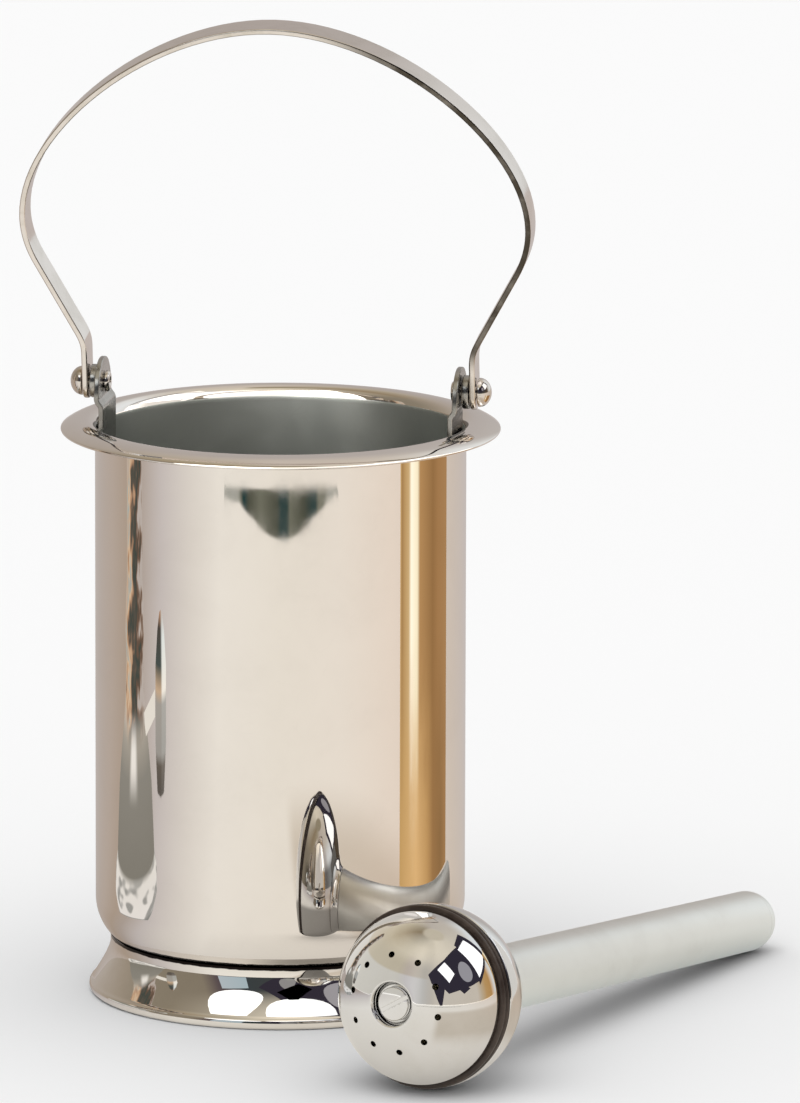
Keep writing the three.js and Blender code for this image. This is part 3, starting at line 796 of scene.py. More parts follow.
def bow_line():
    """The strap's middle line from one end to the other, seen along the bail's swing axis."""
    spread = BAIL_HALF - STRAP_MIDDLE
    straight_x = STRAP_MIDDLE + spread * STRAIGHT_SHARE
    slope = math.atan2(straight_x - STRAP_MIDDLE, STRAIGHT_TOP - KINK_HEIGHT)
    kink_end = (STRAP_MIDDLE + KINK * math.sin(slope), KINK_HEIGHT + KINK * math.cos(slope))
    kink_start = (STRAP_MIDDLE, KINK_HEIGHT - KINK)
    corner = (STRAP_MIDDLE, KINK_HEIGHT)
    bend = STRAIGHT_TOP + (BAIL_HALF - straight_x) / math.tan(slope)

    def round_off(a, b, c, steps):
        """A bend from a to c round the corner b."""
        points = []
        for i in range(steps + 1):
            t = i / steps
            weights = ((1 - t) ** 2, 2 * t * (1 - t), t * t)
            points.append(tuple(sum(w * p[k] for w, p in zip(weights, (a, b, c))) for k in (0, 1)))
        return points

    rise = BAIL_HEIGHT - SHOULDER
    half = [(STRAP_MIDDLE, -STRAP_WIDTH / 2), (STRAP_MIDDLE, 4)]
    half += round_off(kink_start, corner, kink_end, 6)
    half += [((kink_end[0] + straight_x) / 2, (kink_end[1] + STRAIGHT_TOP) / 2)]
    half += round_off((straight_x, STRAIGHT_TOP), (BAIL_HALF, bend), (BAIL_HALF, SHOULDER), 10)
    half += swing((BAIL_HALF, SHOULDER), (BAIL_HALF, SHOULDER + rise * FULL_SIDE),
                  (BAIL_HALF * FULL_TOP, BAIL_HEIGHT), (0, BAIL_HEIGHT), 28)[1:]
    return half + [(-across, height) for across, height in reversed(half[:-1])]


def bail():
    """Bent strap with round, drilled ends. Its front edge is a face set of its own."""
    piece = strip("bail_strap", bow_line(), STRAP_WIDTH, STRAP_THICKNESS)
    half = STRAP_WIDTH / 2

    def end_corner(a, b):
        at_end = all(abs(p.z + half) < NEAR and abs(abs(p.y) - half) < NEAR for p in (a, b))
        return at_end and abs(a.y - b.y) < NEAR

    bevel_corners(piece, half - 0.05, 10, end_corner)
    for quarter in (math.pi / 2, -math.pi / 2):
        cut(piece, drill(SHANK + GAP, DOME_X - 4, DOME_X + 1, Matrix.Rotation(quarter, 4, "Y")))
    soften(piece, width=0.42)
    for face in piece.data.polygons:
        face.material_index = 1 if face.normal.y < -0.3 else 0
    return piece


pivot_place = bucket_axis @ Matrix.Translation(millimetres(0, 0, PIVOT_HEIGHT))
strap = set_down(bail(), pivot_place @ Matrix.Rotation(BAIL_LEAN, 4, "X"))
finish_piece(strap, "bail", "bail_steel", "bail", strap_steel, strap_edge)


# Sprinkler

CAP_RADIUS = 23.5
CAP_HEIGHT = 17.6
CAP_SHEET = 0.9
SEAT_RADIUS = 6
SEAT_FLOOR = 5
SEAT_DEPTH = 2.7
SPRAY_HOLES = 10
SPRAY_RADIUS = 0.9
SPRAY_CIRCLE = 13.1
SPRAY_START = 26
SCREW_RADIUS = 4.5
SCREW_SHANK = 1.9
SCREW_HEAD = 1.5
SCREW_LENGTH = 10
SCREW_SLOT = (13, 1.1, 1.6)
SCREW_SLOT_TURN = math.radians(30)


def crown(radius):
    """How high the cap's dome is at a distance from its axis."""
    return CAP_RIM + CAP_HEIGHT * math.sqrt(1 - (radius / CAP_RADIUS) ** 2)


SEAT_Z = crown(SEAT_RADIUS) - SEAT_DEPTH


def spray_cap():
    """Thin dome with a sunk seat for its screw, drilled square to its surface."""
    inner_r = CAP_RADIUS - CAP_SHEET
    inner_h = CAP_HEIGHT - CAP_SHEET
    lip = 0.35
    edge = math.degrees(math.acos((SEAT_RADIUS + 0.5) / CAP_RADIUS))
    inside_edge = math.degrees(math.acos((SEAT_RADIUS + CAP_SHEET) / inner_r))
    dome = arc(0, CAP_RIM, CAP_RADIUS, CAP_HEIGHT, 3, edge, 30)
    profile = [(inner_r, CAP_RIM), (CAP_RADIUS - lip, CAP_RIM), (CAP_RADIUS - 0.1, CAP_RIM + 0.12)] + dome
    last_r, last_z = dome[-1]
    profile += swing((last_r, last_z), (last_r - 0.3, last_z + 0.05), (last_r - 0.5, last_z - 0.1),
                     (last_r - 0.62, last_z - 0.45), 5)[1:]
    profile += [(SEAT_FLOOR + 0.35, SEAT_Z + 0.5)]
    profile += arc(SEAT_FLOOR - 0.05, SEAT_Z + 0.4, 0.4, 0.4, 0, -90, 4)[1:]
    profile += [(SCREW_SHANK + GAP, SEAT_Z), (SCREW_SHANK + GAP, SEAT_Z - CAP_SHEET)]
    profile += [(SEAT_FLOOR + CAP_SHEET / 2, SEAT_Z - CAP_SHEET)]
    profile += arc(0, CAP_RIM, inner_r, inner_h, inside_edge, 0, 24)
    piece = turned("spray_cap_dome", profile, BROAD)
    run = CAP_RADIUS * math.sqrt(CAP_RADIUS ** 2 - SPRAY_CIRCLE ** 2)
    slope = math.atan2(CAP_HEIGHT * SPRAY_CIRCLE, run)
    for i in range(SPRAY_HOLES):
        around = Matrix.Rotation(math.radians(SPRAY_START + 360 * i / SPRAY_HOLES), 4, "Z")
        there = Matrix.Translation(millimetres(SPRAY_CIRCLE, 0, crown(SPRAY_CIRCLE)))
        cut(piece, drill(SPRAY_RADIUS, -2, 2, around @ there @ Matrix.Rotation(slope, 4, "Y"), sides=24))
    return smooth(piece, 28)


def cap_screw():
    """Slotted screw with a low round head, sunk in the cap's seat."""
    bottom = SEAT_Z + GAP
    top = bottom + SCREW_HEAD
    tip = bottom - SCREW_LENGTH
    profile = [(0, tip), (SCREW_SHANK - 0.3, tip), (SCREW_SHANK, tip + 0.3), (SCREW_SHANK, bottom),
               (SCREW_RADIUS - 0.15, bottom), (SCREW_RADIUS, bottom + 0.15), (SCREW_RADIUS, top - 0.45)]
    profile += arc(SCREW_RADIUS - 0.35, top - 0.4, 0.35, 0.35, 0, 80, 5)
    profile += [(2.6, top + 0.02), (1.2, top + 0.05), (0, top + 0.06)]
    piece = turned("cap_screw_slotted", profile, SLIM)
    bpy.ops.object.select_all(action="DESELECT")
    bpy.ops.mesh.primitive_cube_add(size=1)
    tool = named("slot_saw")
    tool.scale = millimetres(*SCREW_SLOT)
    tool.location = millimetres(0, 0, top)
    tool.rotation_euler.z = SCREW_SLOT_TURN
    bpy.ops.object.transform_apply()
    cut(piece, tool)
    return soften(piece, width=0.12, angle=40)


POST_RADIUS = 3.2


def below(radius, reach):
    """The angle under the level at which a circle of that reach is as wide as the radius."""
    return -math.degrees(math.acos(radius / reach))


def rear_shell():
    """Ball-shaped back of the head with a rounded rim and a hole for the post."""
    inner = SHELL_RADIUS - CAP_SHEET
    hole = POST_RADIUS + GAP
    outside = arc(0, BALL_CENTRE, SHELL_RADIUS, SHELL_RADIUS, below(hole, SHELL_RADIUS), -1, 40)
    inside = arc(0, BALL_CENTRE, inner, inner, -1, below(hole, inner), 30)
    rim = arc(SHELL_RADIUS - CAP_SHEET / 2, BALL_CENTRE - 0.45, CAP_SHEET / 2, 0.44, 0, 180, 6)[1:-1]
    profile = outside + rim + inside + outside[:1]
    return smooth(turned("rear_shell_ball", profile, BROAD))


def cap_seal():
    """Rubber ring with two soft beads between the rims and a thin lip inside both."""
    half = SEAL_WIDTH / 2
    bead = 0.8
    bead_r = 23.95
    lip = half + 2.6
    profile = [(22.5, -half), (23.6, -half)]
    profile += arc(bead_r, -half + bead, bead, bead, -80, 70, 8) + [(24.02, 0)]
    profile += arc(bead_r, half - bead, bead, bead, -70, 80, 8) + [(23.6, half), (22.5, half)]
    profile += [(22.1, lip), (21.1, lip), (21.1, -lip), (22.1, -lip), (22.5, -half)]
    return smooth(turned("cap_seal_ring", profile, MEDIUM))


SHELL_BACK = BALL_CENTRE - SHELL_RADIUS
COLLAR_RADIUS = 12
COLLAR_LENGTH = 5.2
COLLAR_FRONT = BALL_CENTRE - math.sqrt((SHELL_RADIUS + GAP) ** 2 - COLLAR_RADIUS ** 2)
COLLAR_BACK = SHELL_BACK - GAP - (COLLAR_LENGTH - (COLLAR_FRONT - SHELL_BACK))
TUBE_FRONT = COLLAR_BACK - GAP
HANDLE_FRONT_RADIUS = 9.05


def handle_collar():
    """Dished in front for the ball and hollowed outside down to the handle."""
    seat = SHELL_RADIUS + GAP
    hole = POST_RADIUS + GAP
    neck = HANDLE_FRONT_RADIUS + 0.25
    outside = swing((neck, COLLAR_BACK + 0.4), (neck, COLLAR_BACK + 2.4), (neck + 0.8, COLLAR_FRONT - 1.3),
                    (COLLAR_RADIUS, COLLAR_FRONT), 10)
    dish = arc(0, BALL_CENTRE, seat, seat, below(COLLAR_RADIUS, seat), below(hole, seat), 12)
    profile = [(hole, COLLAR_BACK), (neck - 0.35, COLLAR_BACK), (neck - 0.1, COLLAR_BACK + 0.12)]
    profile += outside + dish[1:] + [(hole, COLLAR_BACK)]
    return smooth(turned("handle_collar_turned", profile, MEDIUM))


def handle_tube():
    """Tapered tube, closed at both ends by a step inwards."""
    end = HANDLE_END_RADIUS
    front = HANDLE_FRONT_RADIUS
    length = HANDLE_LENGTH + TUBE_FRONT
    rings = (0.0005, 0.05, 0.25, 0.5, 0.75, 0.95, 0.996)
    wall = [(end + (front - end) * share, -HANDLE_LENGTH + length * share) for share in rings]
    profile = [(end - 1, -HANDLE_LENGTH), (end - 0.07, -HANDLE_LENGTH)] + wall
    profile += [(front - 0.15, TUBE_FRONT), (front - 1, TUBE_FRONT), (end - 1, -HANDLE_LENGTH)]
    return smooth(turned("handle_tube_tapered", profile, NARROW))


def handle_end():
    """Domed end pressed into the tube, with a fine line where they meet."""
    shoulder = -HANDLE_LENGTH - 0.03
    spigot = HANDLE_END_RADIUS - 1.3
    profile = arc(0, shoulder, HANDLE_END_RADIUS, HANDLE_END_RADIUS - 0.03, -90, -4, 20)
    profile[0] = (0, profile[0][1])
    profile += [(HANDLE_END_RADIUS - 0.01, shoulder - 0.08), (HANDLE_END_RADIUS - 0.07, shoulder)]
    tip = shoulder + 9
    profile += [(spigot, shoulder), (spigot, tip - 0.3), (spigot - 0.3, tip), (0, tip)]
    return smooth(turned("handle_end_dome", profile, NARROW))


def sponge():
    """Foam ring round the post, cut to the ball, with open pores."""
    hole = 4.2
    back = -13.5
    front = 11.5
    profile = [(hole, back)] + arc(16.4, back + 1.9, 2, 1.9, -90, -20, 4)
    profile += [(19.6, -5), (20, -2), (20, 2), (19.2, 6)] + arc(12.2, front - 2, 2.5, 2, 10, 90, 4)
    profile += [(hole, front), (hole, back)]
    piece = turned("sponge_foam_ring", profile, SLIM)
    modified(piece, "SUBSURF", levels=2, render_levels=2)
    pores = bpy.data.textures.new("sponge_pores", "CLOUDS")
    pores.noise_scale = 1.1 * MM
    modified(piece, "DISPLACE", texture=pores, strength=0.5 * MM, mid_level=0.75)
    return smooth(piece, 60)


def centre_post():
    """Rod between cap and handle, bored at the front for the screw."""
    front = SEAT_Z - CAP_SHEET - GAP
    back = TUBE_FRONT - 14
    bore = SCREW_SHANK + GAP
    bevel = 0.4
    profile = [(0, back), (POST_RADIUS - bevel, back), (POST_RADIUS, back + bevel),
               (POST_RADIUS, front - bevel), (POST_RADIUS - bevel, front), (bore, front),
               (bore, front - 13.5), (0, front - 14)]
    return smooth(turned("centre_post_turned", profile, SMALL))


def post_nut():
    """Hexagon nut with bevelled corners, inside the ball."""
    across = 11
    thick = 4.5
    top = SHELL_BACK + CAP_SHEET + across ** 2 / (8 * SHELL_RADIUS) + GAP * 2 + thick
    bpy.ops.object.select_all(action="DESELECT")
    bpy.ops.mesh.primitive_cylinder_add(vertices=6, radius=across / math.sqrt(3) * MM, depth=thick * MM,
                                        location=(0, 0, (top - thick / 2) * MM))
    piece = named("post_nut_hexagon")
    bpy.ops.object.transform_apply()
    cut(piece, drill(POST_RADIUS + GAP, top - 7, top + 2, Matrix.Identity(4)))
    return soften(piece, width=0.25)


for make, rides_on, slot, node_name, look in (
        (spray_cap, "sprinkler_cap", "head_chrome", "spray_cap", head_chrome),
        (cap_screw, "cap_screw", "head_chrome", "cap_screw", head_chrome),
        (rear_shell, "sprinkler", "head_chrome", "rear_shell", head_chrome),
        (cap_seal, "sprinkler", "seal_rubber", "cap_seal", seal_rubber),
        (handle_collar, "sprinkler", "head_chrome", "handle_collar", head_chrome),
        (handle_tube, "sprinkler", "handle_satin", "handle_tube", handle_satin),
        (handle_end, "sprinkler", "handle_satin", "handle_end_cap", handle_satin),
        (centre_post, "sprinkler", "satin_steel", "centre_post", inner_satin),
        (post_nut, "sprinkler", "satin_steel", "post_nut", inner_satin)):
    finish_piece(set_down(make(), sprinkler_place), rides_on, slot, node_name, look)
foam_ring = set_down(sponge(), sprinkler_place)
finish_piece(foam_ring, "sprinkler", "sponge_foam", "sponge", sponge_foam)
plug = frame["nodes"]["handle_plug"]
plug.data.materials.clear()
plug.data.materials.append(inner_satin)


# Studio

def tone_ramp(tree, value, stops):
    """Colours along a value from 0 to 1, as (place, colour)."""
    made = node(tree, "ShaderNodeValToRGB", value)
    elements = made.color_ramp.elements
    elements.remove(elements[1])
    elements[0].position = stops[0][0]
    elements[0].color = (*stops[0][1], 1)
    for place, tone in stops[1:]:
        element = elements.new(place)
        element.color = (*tone, 1)
    return made.outputs["Color"]


def at(azimuth):
    """A direction in degrees, from the camera's side to its right, as a share of a turn."""
    return azimuth / 360 + 0.5


def round_ramp(tree, share, stops):
    """Colours all round, as (azimuth, colour)."""
    return tone_ramp(tree, share, [(at(azimuth), tone) for azimuth, tone in stops])


def as_seen(tree, vector, centre=(0, 0, 0), unit=1.0):
    """A place from the centre as the camera sees it: X to the right, Y away, in a unit of metres."""
    return node(tree, "ShaderNodeMapping", vector, vector_type="TEXTURE", Location=centre,
                Rotation=(0, 0, VIEW_YAW), Scale=(unit, unit, unit)).outputs["Vector"]


def compass(tree, vector, centre=(0, 0, 0)):
    """How a place lies as the camera sees it from the centre: share of a turn (0.5 is towards
    the camera, more is to its right), sine of the elevation, and distance in metres."""
    seen = as_seen(tree, vector, centre)
    parts = split(tree, seen)
    distance = node(tree, "ShaderNodeVectorMath", seen, operation="LENGTH").outputs["Value"]
    angle = math_node(tree, "ARCTAN2", parts["X"], times(tree, parts["Y"], -1.0))
    share = math_node(tree, "ADD", math_node(tree, "DIVIDE", angle, 2 * math.pi), 0.5)
    return share, math_node(tree, "DIVIDE", parts["Z"], distance), distance


def second_look(tree):
    """1 where a mirror is seen in another mirror, otherwise 0."""
    return math_node(tree, "GREATER_THAN", node(tree, "ShaderNodeLightPath").outputs["Glossy Depth"], 1.5)


def scaled(tree, colour, factor):
    """A colour made dimmer or brighter."""
    return node(tree, "ShaderNodeVectorMath", colour, operation="SCALE", Scale=factor).outputs[0]


def together(tree, first, second):
    """The sum of two colours."""
    return node(tree, "ShaderNodeVectorMath", first, second, operation="ADD").outputs[0]


def mirrors_see(tree, plain, reflected, ending):
    """Ends a material with one shader for the camera and another one for polished metal."""
    glossy = node(tree, "ShaderNodeLightPath").outputs["Is Glossy Ray"]
    choice = node(tree, "ShaderNodeMixShader", glossy, plain, reflected)
    node(tree, ending, Surface=choice.outputs[0])


def empty_material(name):
    """A new material with its empty node tree."""
    made = bpy.data.materials.new(name)
    made.use_nodes = True
    made.node_tree.nodes.clear()
    return made, made.node_tree


def emitter(name, colour=(1, 1, 1), strength=1.0, through=False, again=None):
    """A glowing surface. With through, what lies behind it shows as well. Again is its strength
    where a mirror is seen in another mirror."""
    made, tree = empty_material(name)
    if again is not None:
        strength = ranged(tree, second_look(tree), strength, again)
    light = node(tree, "ShaderNodeEmission", Color=colour, Strength=strength)
    out = light.outputs[0]
    if through:
        clear = node(tree, "ShaderNodeBsdfTransparent").outputs[0]
        out = node(tree, "ShaderNodeAddShader", out, clear).outputs[0]
    node(tree, "ShaderNodeOutputMaterial", Surface=out)
    return made, tree, light.inputs["Color"]


def mirror_only(thing, look, shown_to=None):
    """Studio gear that only metal shows, or only the pieces that are given."""
    thing.data.materials.clear()
    thing.data.materials.append(look)
    thing.visible_camera = False
    thing.visible_diffuse = False
    thing.visible_transmission = False
    thing.visible_shadow = False
    if shown_to:
        receivers = bpy.data.collections.new(thing.name + "_shown_to")
        for piece in shown_to:
            receivers.objects.link(piece)
        thing.light_linking.receiver_collection = receivers
    return thing


def card(name, corners, look, shown_to=None):
    """A flat studio card with its corners in order, in metres."""
    bpy.ops.object.select_all(action="DESELECT")
    bpy.ops.mesh.primitive_circle_add(vertices=len(corners), fill_type="NGON")
    made = named(name)
    for vertex, corner in zip(made.data.vertices, corners):
        vertex.co = corner
    return mirror_only(made, look, shown_to)


HEAD_CENTRE = middle("cap_seal")
BUCKET_CENTRE = bucket_axis.translation


def pieces_named(*starts):
    return [piece for piece in bpy.context.scene.objects if piece.name.startswith(starts)]


body_piece = pieces_named("bucket_body_skin")
foot_piece = pieces_named("foot_ring_skin")
bail_piece = pieces_named("bail_strap")
fittings = pieces_named("ear_left_plate", "ear_right_plate", "rivet_", "washer_")
bucket_pieces = body_piece + foot_piece + bail_piece + fittings
cap_pieces = pieces_named("spray_cap_dome", "cap_screw_slotted")
handle_pieces = pieces_named("handle_", "rear_shell_ball")
tube_pieces = pieces_named("handle_tube", "handle_end")

FLOOR_SIZE = 24
FLOOR_LEVEL = -0.00002


def studio_floor():
    """Plain pale floor. In polished metal it shows as the cream cloth that the set stands on, with painted
    shade towards its left and painted shadows near the sprinkler's head.
    """
    bpy.ops.object.select_all(action="DESELECT")
    bpy.ops.mesh.primitive_plane_add(size=FLOOR_SIZE, location=(0, 0, FLOOR_LEVEL))
    floor = named("studio_floor")
    bpy.ops.object.transform_apply()
    made, tree = empty_material("pale_floor")
    tone = round_ramp(tree, compass(tree, own_place(tree), BUCKET_CENTRE)[0], [
        (-180, (0.53, 0.48, 0.455)), (-151, (0.49, 0.44, 0.41)), (-125, (0.48, 0.41, 0.36)),
        (-108, (0.44, 0.36, 0.295)), (-94, (0.46, 0.40, 0.36)), (-77, (0.60, 0.56, 0.55)),
        (-55, (0.76, 0.725, 0.68)), (-37, (0.88, 0.85, 0.79)), (0, (0.86, 0.82, 0.745)),
        (36, (0.865, 0.81, 0.735)), (71, (0.845, 0.75, 0.66)), (124, (0.66, 0.585, 0.516)),
        (159, (0.57, 0.52, 0.50)), (180, (0.53, 0.48, 0.455))])
    share, _, distance = compass(tree, own_place(tree), HEAD_CENTRE)
    # A darker beige patch to the right of the head: painted shadow of the head
    near_head = times(tree, stepped(tree, distance, 0.038, 0.06), stepped(tree, distance, 0.26, 0.15))
    right_of_head = times(tree, stepped(tree, share, at(-8), at(2)), stepped(tree, share, at(168), at(150)))
    head_shadow_patch = times(tree, near_head, right_of_head)
    tone = blend(tree, head_shadow_patch, tone, (0.77, 0.73, 0.68), blend_type="MULTIPLY")
    # Mirrors seen in mirrors show the floor darker close under the head: painted shadow
    shadow_under_head = times(tree, second_look(tree), stepped(tree, distance, 0.09, 0.07))
    tone = scaled(tree, tone, ranged(tree, shadow_under_head, 1.0, 0.42))
    cloth = node(tree, "ShaderNodeBsdfDiffuse", Color=tone).outputs[0]
    glow = node(tree, "ShaderNodeEmission", Color=tone, Strength=1.0).outputs[0]
    half_lit = node(tree, "ShaderNodeMixShader", 0.5, cloth, glow).outputs[0]
    pale = node(tree, "ShaderNodeBsdfDiffuse", Color=(0.93, 0.93, 0.93)).outputs[0]
    mirrors_see(tree, pale, half_lit, "ShaderNodeOutputMaterial")
    floor.data.materials.append(made)


studio_floor()

# Two sheets stand on the right, each on a line on the table: right and away in millimetres
BRASS_LINE = ((196, -68), (194, 85))
COVER_LINE = ((195, -70), (193, 87))
SHEET_TOP = 128


def upright(start, end):
    """Corners of a sheet that stands on such a line."""
    return [placed(*start, 0), placed(*end, 0), placed(*end, SHEET_TOP), placed(*start, SHEET_TOP)]


def brass_look():
    """Brass with a bright window in it, duller and redder low down, and blotched in between."""
    made, tree, colour = emitter("brass_sheet_look")
    start, end = (placed(*point, 0) for point in BRASS_LINE)
    run = end - start
    along = node(tree, "ShaderNodeMapping", own_place(tree), vector_type="TEXTURE", Location=start,
                 Rotation=(0, 0, math.atan2(run.y, run.x)), Scale=(run.length, 1, SHEET_TOP * MM))
    parts = split(tree, along.outputs["Vector"])
    bright = tone_ramp(tree, parts["X"], [
        (0.0, (0.70, 0.46, 0.20)), (0.03, (0.42, 0.25, 0.10)), (0.074, (0.55, 0.35, 0.15)),
        (0.15, (0.68, 0.48, 0.24)), (0.19, (1.2, 1.12, 0.92)), (0.3, (1.05, 0.96, 0.7)),
        (0.345, (0.50, 0.29, 0.12)), (0.61, (0.33, 0.18, 0.07)), (0.736, (0.40, 0.22, 0.09)),
        (1.0, (0.43, 0.25, 0.11))])
    low = tone_ramp(tree, parts["X"], [
        (0.0, (0.60, 0.38, 0.15)), (0.284, (0.79, 0.51, 0.23)), (0.5, (0.58, 0.35, 0.14)),
        (0.63, (0.36, 0.2, 0.08)), (0.82, (0.30, 0.17, 0.07)), (1.0, (0.40, 0.23, 0.10))])
    flecks = noise(tree, own_place(tree), Scale=55.0, Detail=3.0)
    height = math_node(tree, "ADD", parts["Z"], times(tree, flecks, 0.3))
    feed(tree, colour, blend(tree, stepped(tree, height, 0.2, 0.75), low, bright))
    return made


# The brass sheet makes the gold band on the bucket's right side, and the pale one hides it from the handle
card("brass_sheet", upright(*BRASS_LINE), brass_look(), bucket_pieces + cap_pieces)
cover_look = emitter("pale_cover_look", (0.76, 0.74, 0.70), through=True, again=0.2)[0]
card("pale_cover", upright(*COVER_LINE), cover_look, handle_pieces)

# Cool light from under the handle, which only the handle shows
cloth_look = emitter("handle_cloth_look", (0.11, 0.185, 0.225), through=True, again=0.0)[0]
cloth_corners = [placed(x, y, 0.3) for x, y in ((-40, -300), (620, -300), (620, 420), (-40, 420))]
card("handle_cloth", cloth_corners, cloth_look, tube_pieces)


def level_way(azimuth):
    """A level direction in degrees, from the camera's side to its right."""
    turn = math.radians(azimuth)
    return picture_right * math.sin(turn) - picture_away * math.cos(turn)


TABLE_REACH = 0.823


def table_edge():
    """Dark room beyond the table's front edge: a small dark patch under the brim."""
    look, tree, colour = emitter("table_edge_look")
    dim, line = (0.07, 0.075, 0.055), (0.015, 0.045, 0.045)
    grey, pale = (0.17, 0.175, 0.135), (0.38, 0.385, 0.35)
    feed(tree, colour, round_ramp(tree, compass(tree, own_place(tree), BUCKET_CENTRE)[0], [
        (-34, pale), (-25.5, pale), (-24, grey), (-23, line), (-20.5, line), (-19.5, dim), (-12, grey),
        (-2, dim), (0, line), (4, line), (5, grey), (14, dim), (19, line), (21, line), (22, grey),
        (26, grey), (29, pale), (37, pale)]))
    far_arc = [placed(0, 0, 1) + level_way(azimuth) * TABLE_REACH for azimuth in range(34, -35, -4)]
    near_edge = [placed(x, y, 1) for x, y in (
        (-452, -664), (-425, -680), (-334, -725), (-211, -741), (20, -738), (253, -731), (373, -705),
        (438, -680), (464, -658))]
    card("table_edge", near_edge + far_arc, look)


table_edge()


def towards(azimuth, elevation, distance):
    """A point by its direction from the sprinkler's head, in degrees, and its distance."""
    climb = math.radians(elevation)
    return HEAD_CENTRE + (level_way(azimuth) * math.cos(climb) + UP * math.sin(climb)) * distance


def window(name, outline, distance, look, shown_to=None):
    """A card seen from the sprinkler's head, with its corners as (azimuth, elevation)."""
    card(name, [towards(*corner, distance) for corner in outline], look, shown_to)


def oval(azimuth, elevation, half_width, half_height):
    """Outline of an oval window, in degrees."""
    turns = [i * math.pi / 12 for i in range(24)]
    return [(azimuth + half_width * math.cos(t), elevation + half_height * math.sin(t)) for t in turns]


# Dark front of the room with bright panes in it, over the camera
DARK = 2.4
PANE = 2.0
dark_look = emitter("dark_front_look", (0.035, 0.03, 0.045))[0]
pane_look = emitter("bright_pane_look", (1.0, 1.0, 1.0), 1.5)[0]
side_look = emitter("side_pane_look", (0.95, 0.98, 1.0), 1.3, through=True)[0]
disc_look = emitter("grey_disc_look", (0.36, 0.35, 0.38))[0]
window("dark_front", [(-17, 31), (-5, 5), (0, -5), (5, 19), (22, 19), (33, 11), (46, 16)], DARK, dark_look)
window("dark_middle", [(-17, 31), (10, 12), (47, 18), (72, 20), (70, 63), (10, 51)], DARK + 0.05, dark_look)
window("dark_side", [(68, 16), (84, 22), (122, 26), (126, 58), (66, 66)], DARK, dark_look)
window("pane_front", [(-4, 38), (12, 24), (23, 34), (10, 48)], PANE, pane_look, cap_pieces)
window("pane_right", [(72, 23), (114, 29), (112, 55), (62, 60)], PANE, pane_look)
window("grey_disc", oval(46, 35, 14, 12), PANE, disc_look)
window("pane_left", oval(-37, 43, 22, 9), PANE, side_look, foot_piece + bail_piece + fittings)
window("pane_middle", oval(17, 52, 31, 8), PANE, side_look, foot_piece)
sky_look = emitter("blue_strip_look", (0.36, 0.45, 0.50), through=True)[0]
window("blue_strip", [(-45, 2), (-25, 2), (-25, 32), (-45, 32)], PANE, sky_look, foot_piece)
grey_look = emitter("grey_strip_look", (0.25, 0.25, 0.24), through=True)[0]
window("grey_strip", oval(4, 19, 6, 15), PANE, grey_look, foot_piece)

# A row of panes side by side that only the bucket's body shows: its bright brim
FIRST_PANE = -60
PANE_WIDTH = 26
PANE_LOW = 3
PANE_HIGH = 66
for number, glow in enumerate((3.0, 3.0, 1.3, 1.3, 1.3, 0.8, 0.8)):
    offset = number * PANE_WIDTH
    start = FIRST_PANE + offset
    end = start + PANE_WIDTH
    brim_look = emitter(f"brim_pane_{offset}_look", (1.0, 0.99, 0.95), glow, through=True, again=0.7)[0]
    corners = [(start, PANE_LOW), (end, PANE_LOW), (end, PANE_HIGH), (start, PANE_HIGH)]
    window(f"brim_pane_{offset}", corners, PANE + 0.1, brim_look, body_piece)


# From which sine of the elevation the sky overhead starts, and where it is full
ZENITH = (0.975, 0.99)
CANOPY_RADIUS = 2.8


def head_canopy():
    """Light cloth and beige ceiling round the sprinkler's head."""
    bpy.ops.object.select_all(action="DESELECT")
    bpy.ops.mesh.primitive_uv_sphere_add(segments=48, ring_count=24, radius=CANOPY_RADIUS,
                                         location=HEAD_CENTRE)
    canopy = named("head_canopy")
    bpy.ops.object.transform_apply()
    look, tree, colour = emitter("head_canopy_look", through=True)
    share, climb, _ = compass(tree, own_place(tree), HEAD_CENTRE)
    left_side = times(tree, stepped(tree, share, at(-8), at(-36)), stepped(tree, share, at(-179), at(-160)))
    left = tone_ramp(tree, climb, [
        (0.0, (0.45, 0.46, 0.45)), (0.42, (0.45, 0.46, 0.45)), (0.45, (0.36, 0.33, 0.26)),
        (0.75, (0.34, 0.31, 0.24)), (0.88, (0.2, 0.18, 0.14)), (0.97, (0, 0, 0))])
    front = round_ramp(tree, share, [
        (-54, (0, 0, 0)), (-40, (0.14, 0.12, 0.12)), (-22, (0.32, 0.29, 0.26)),
        (-8, (0.60, 0.54, 0.46)), (58, (0.60, 0.54, 0.46)), (68, (0.50, 0.40, 0.27)),
        (80, (0.46, 0.27, 0.09)), (98, (0.40, 0.20, 0.04)), (108, (0, 0, 0))])
    front = scaled(tree, front, stepped(tree, climb, 0.9, 0.55))
    overhead = tone_ramp(tree, stepped(tree, climb, *ZENITH), [(0.0, (0, 0, 0)), (1.0, (0.3, 0.28, 0.25))])
    feed(tree, colour, together(tree, together(tree, scaled(tree, left, left_side), front), overhead))
    mirror_only(canopy, look, cap_pieces)


head_canopy()

# Candlestick on the left with an arm beside it: the tall streaks on the bucket's left side
STICK_PLACE = placed(-172, 0, 0)
ARM_PLACE = placed(-160, -61, 0)
KNOB_TOP = 60
ARM_TOP = 90


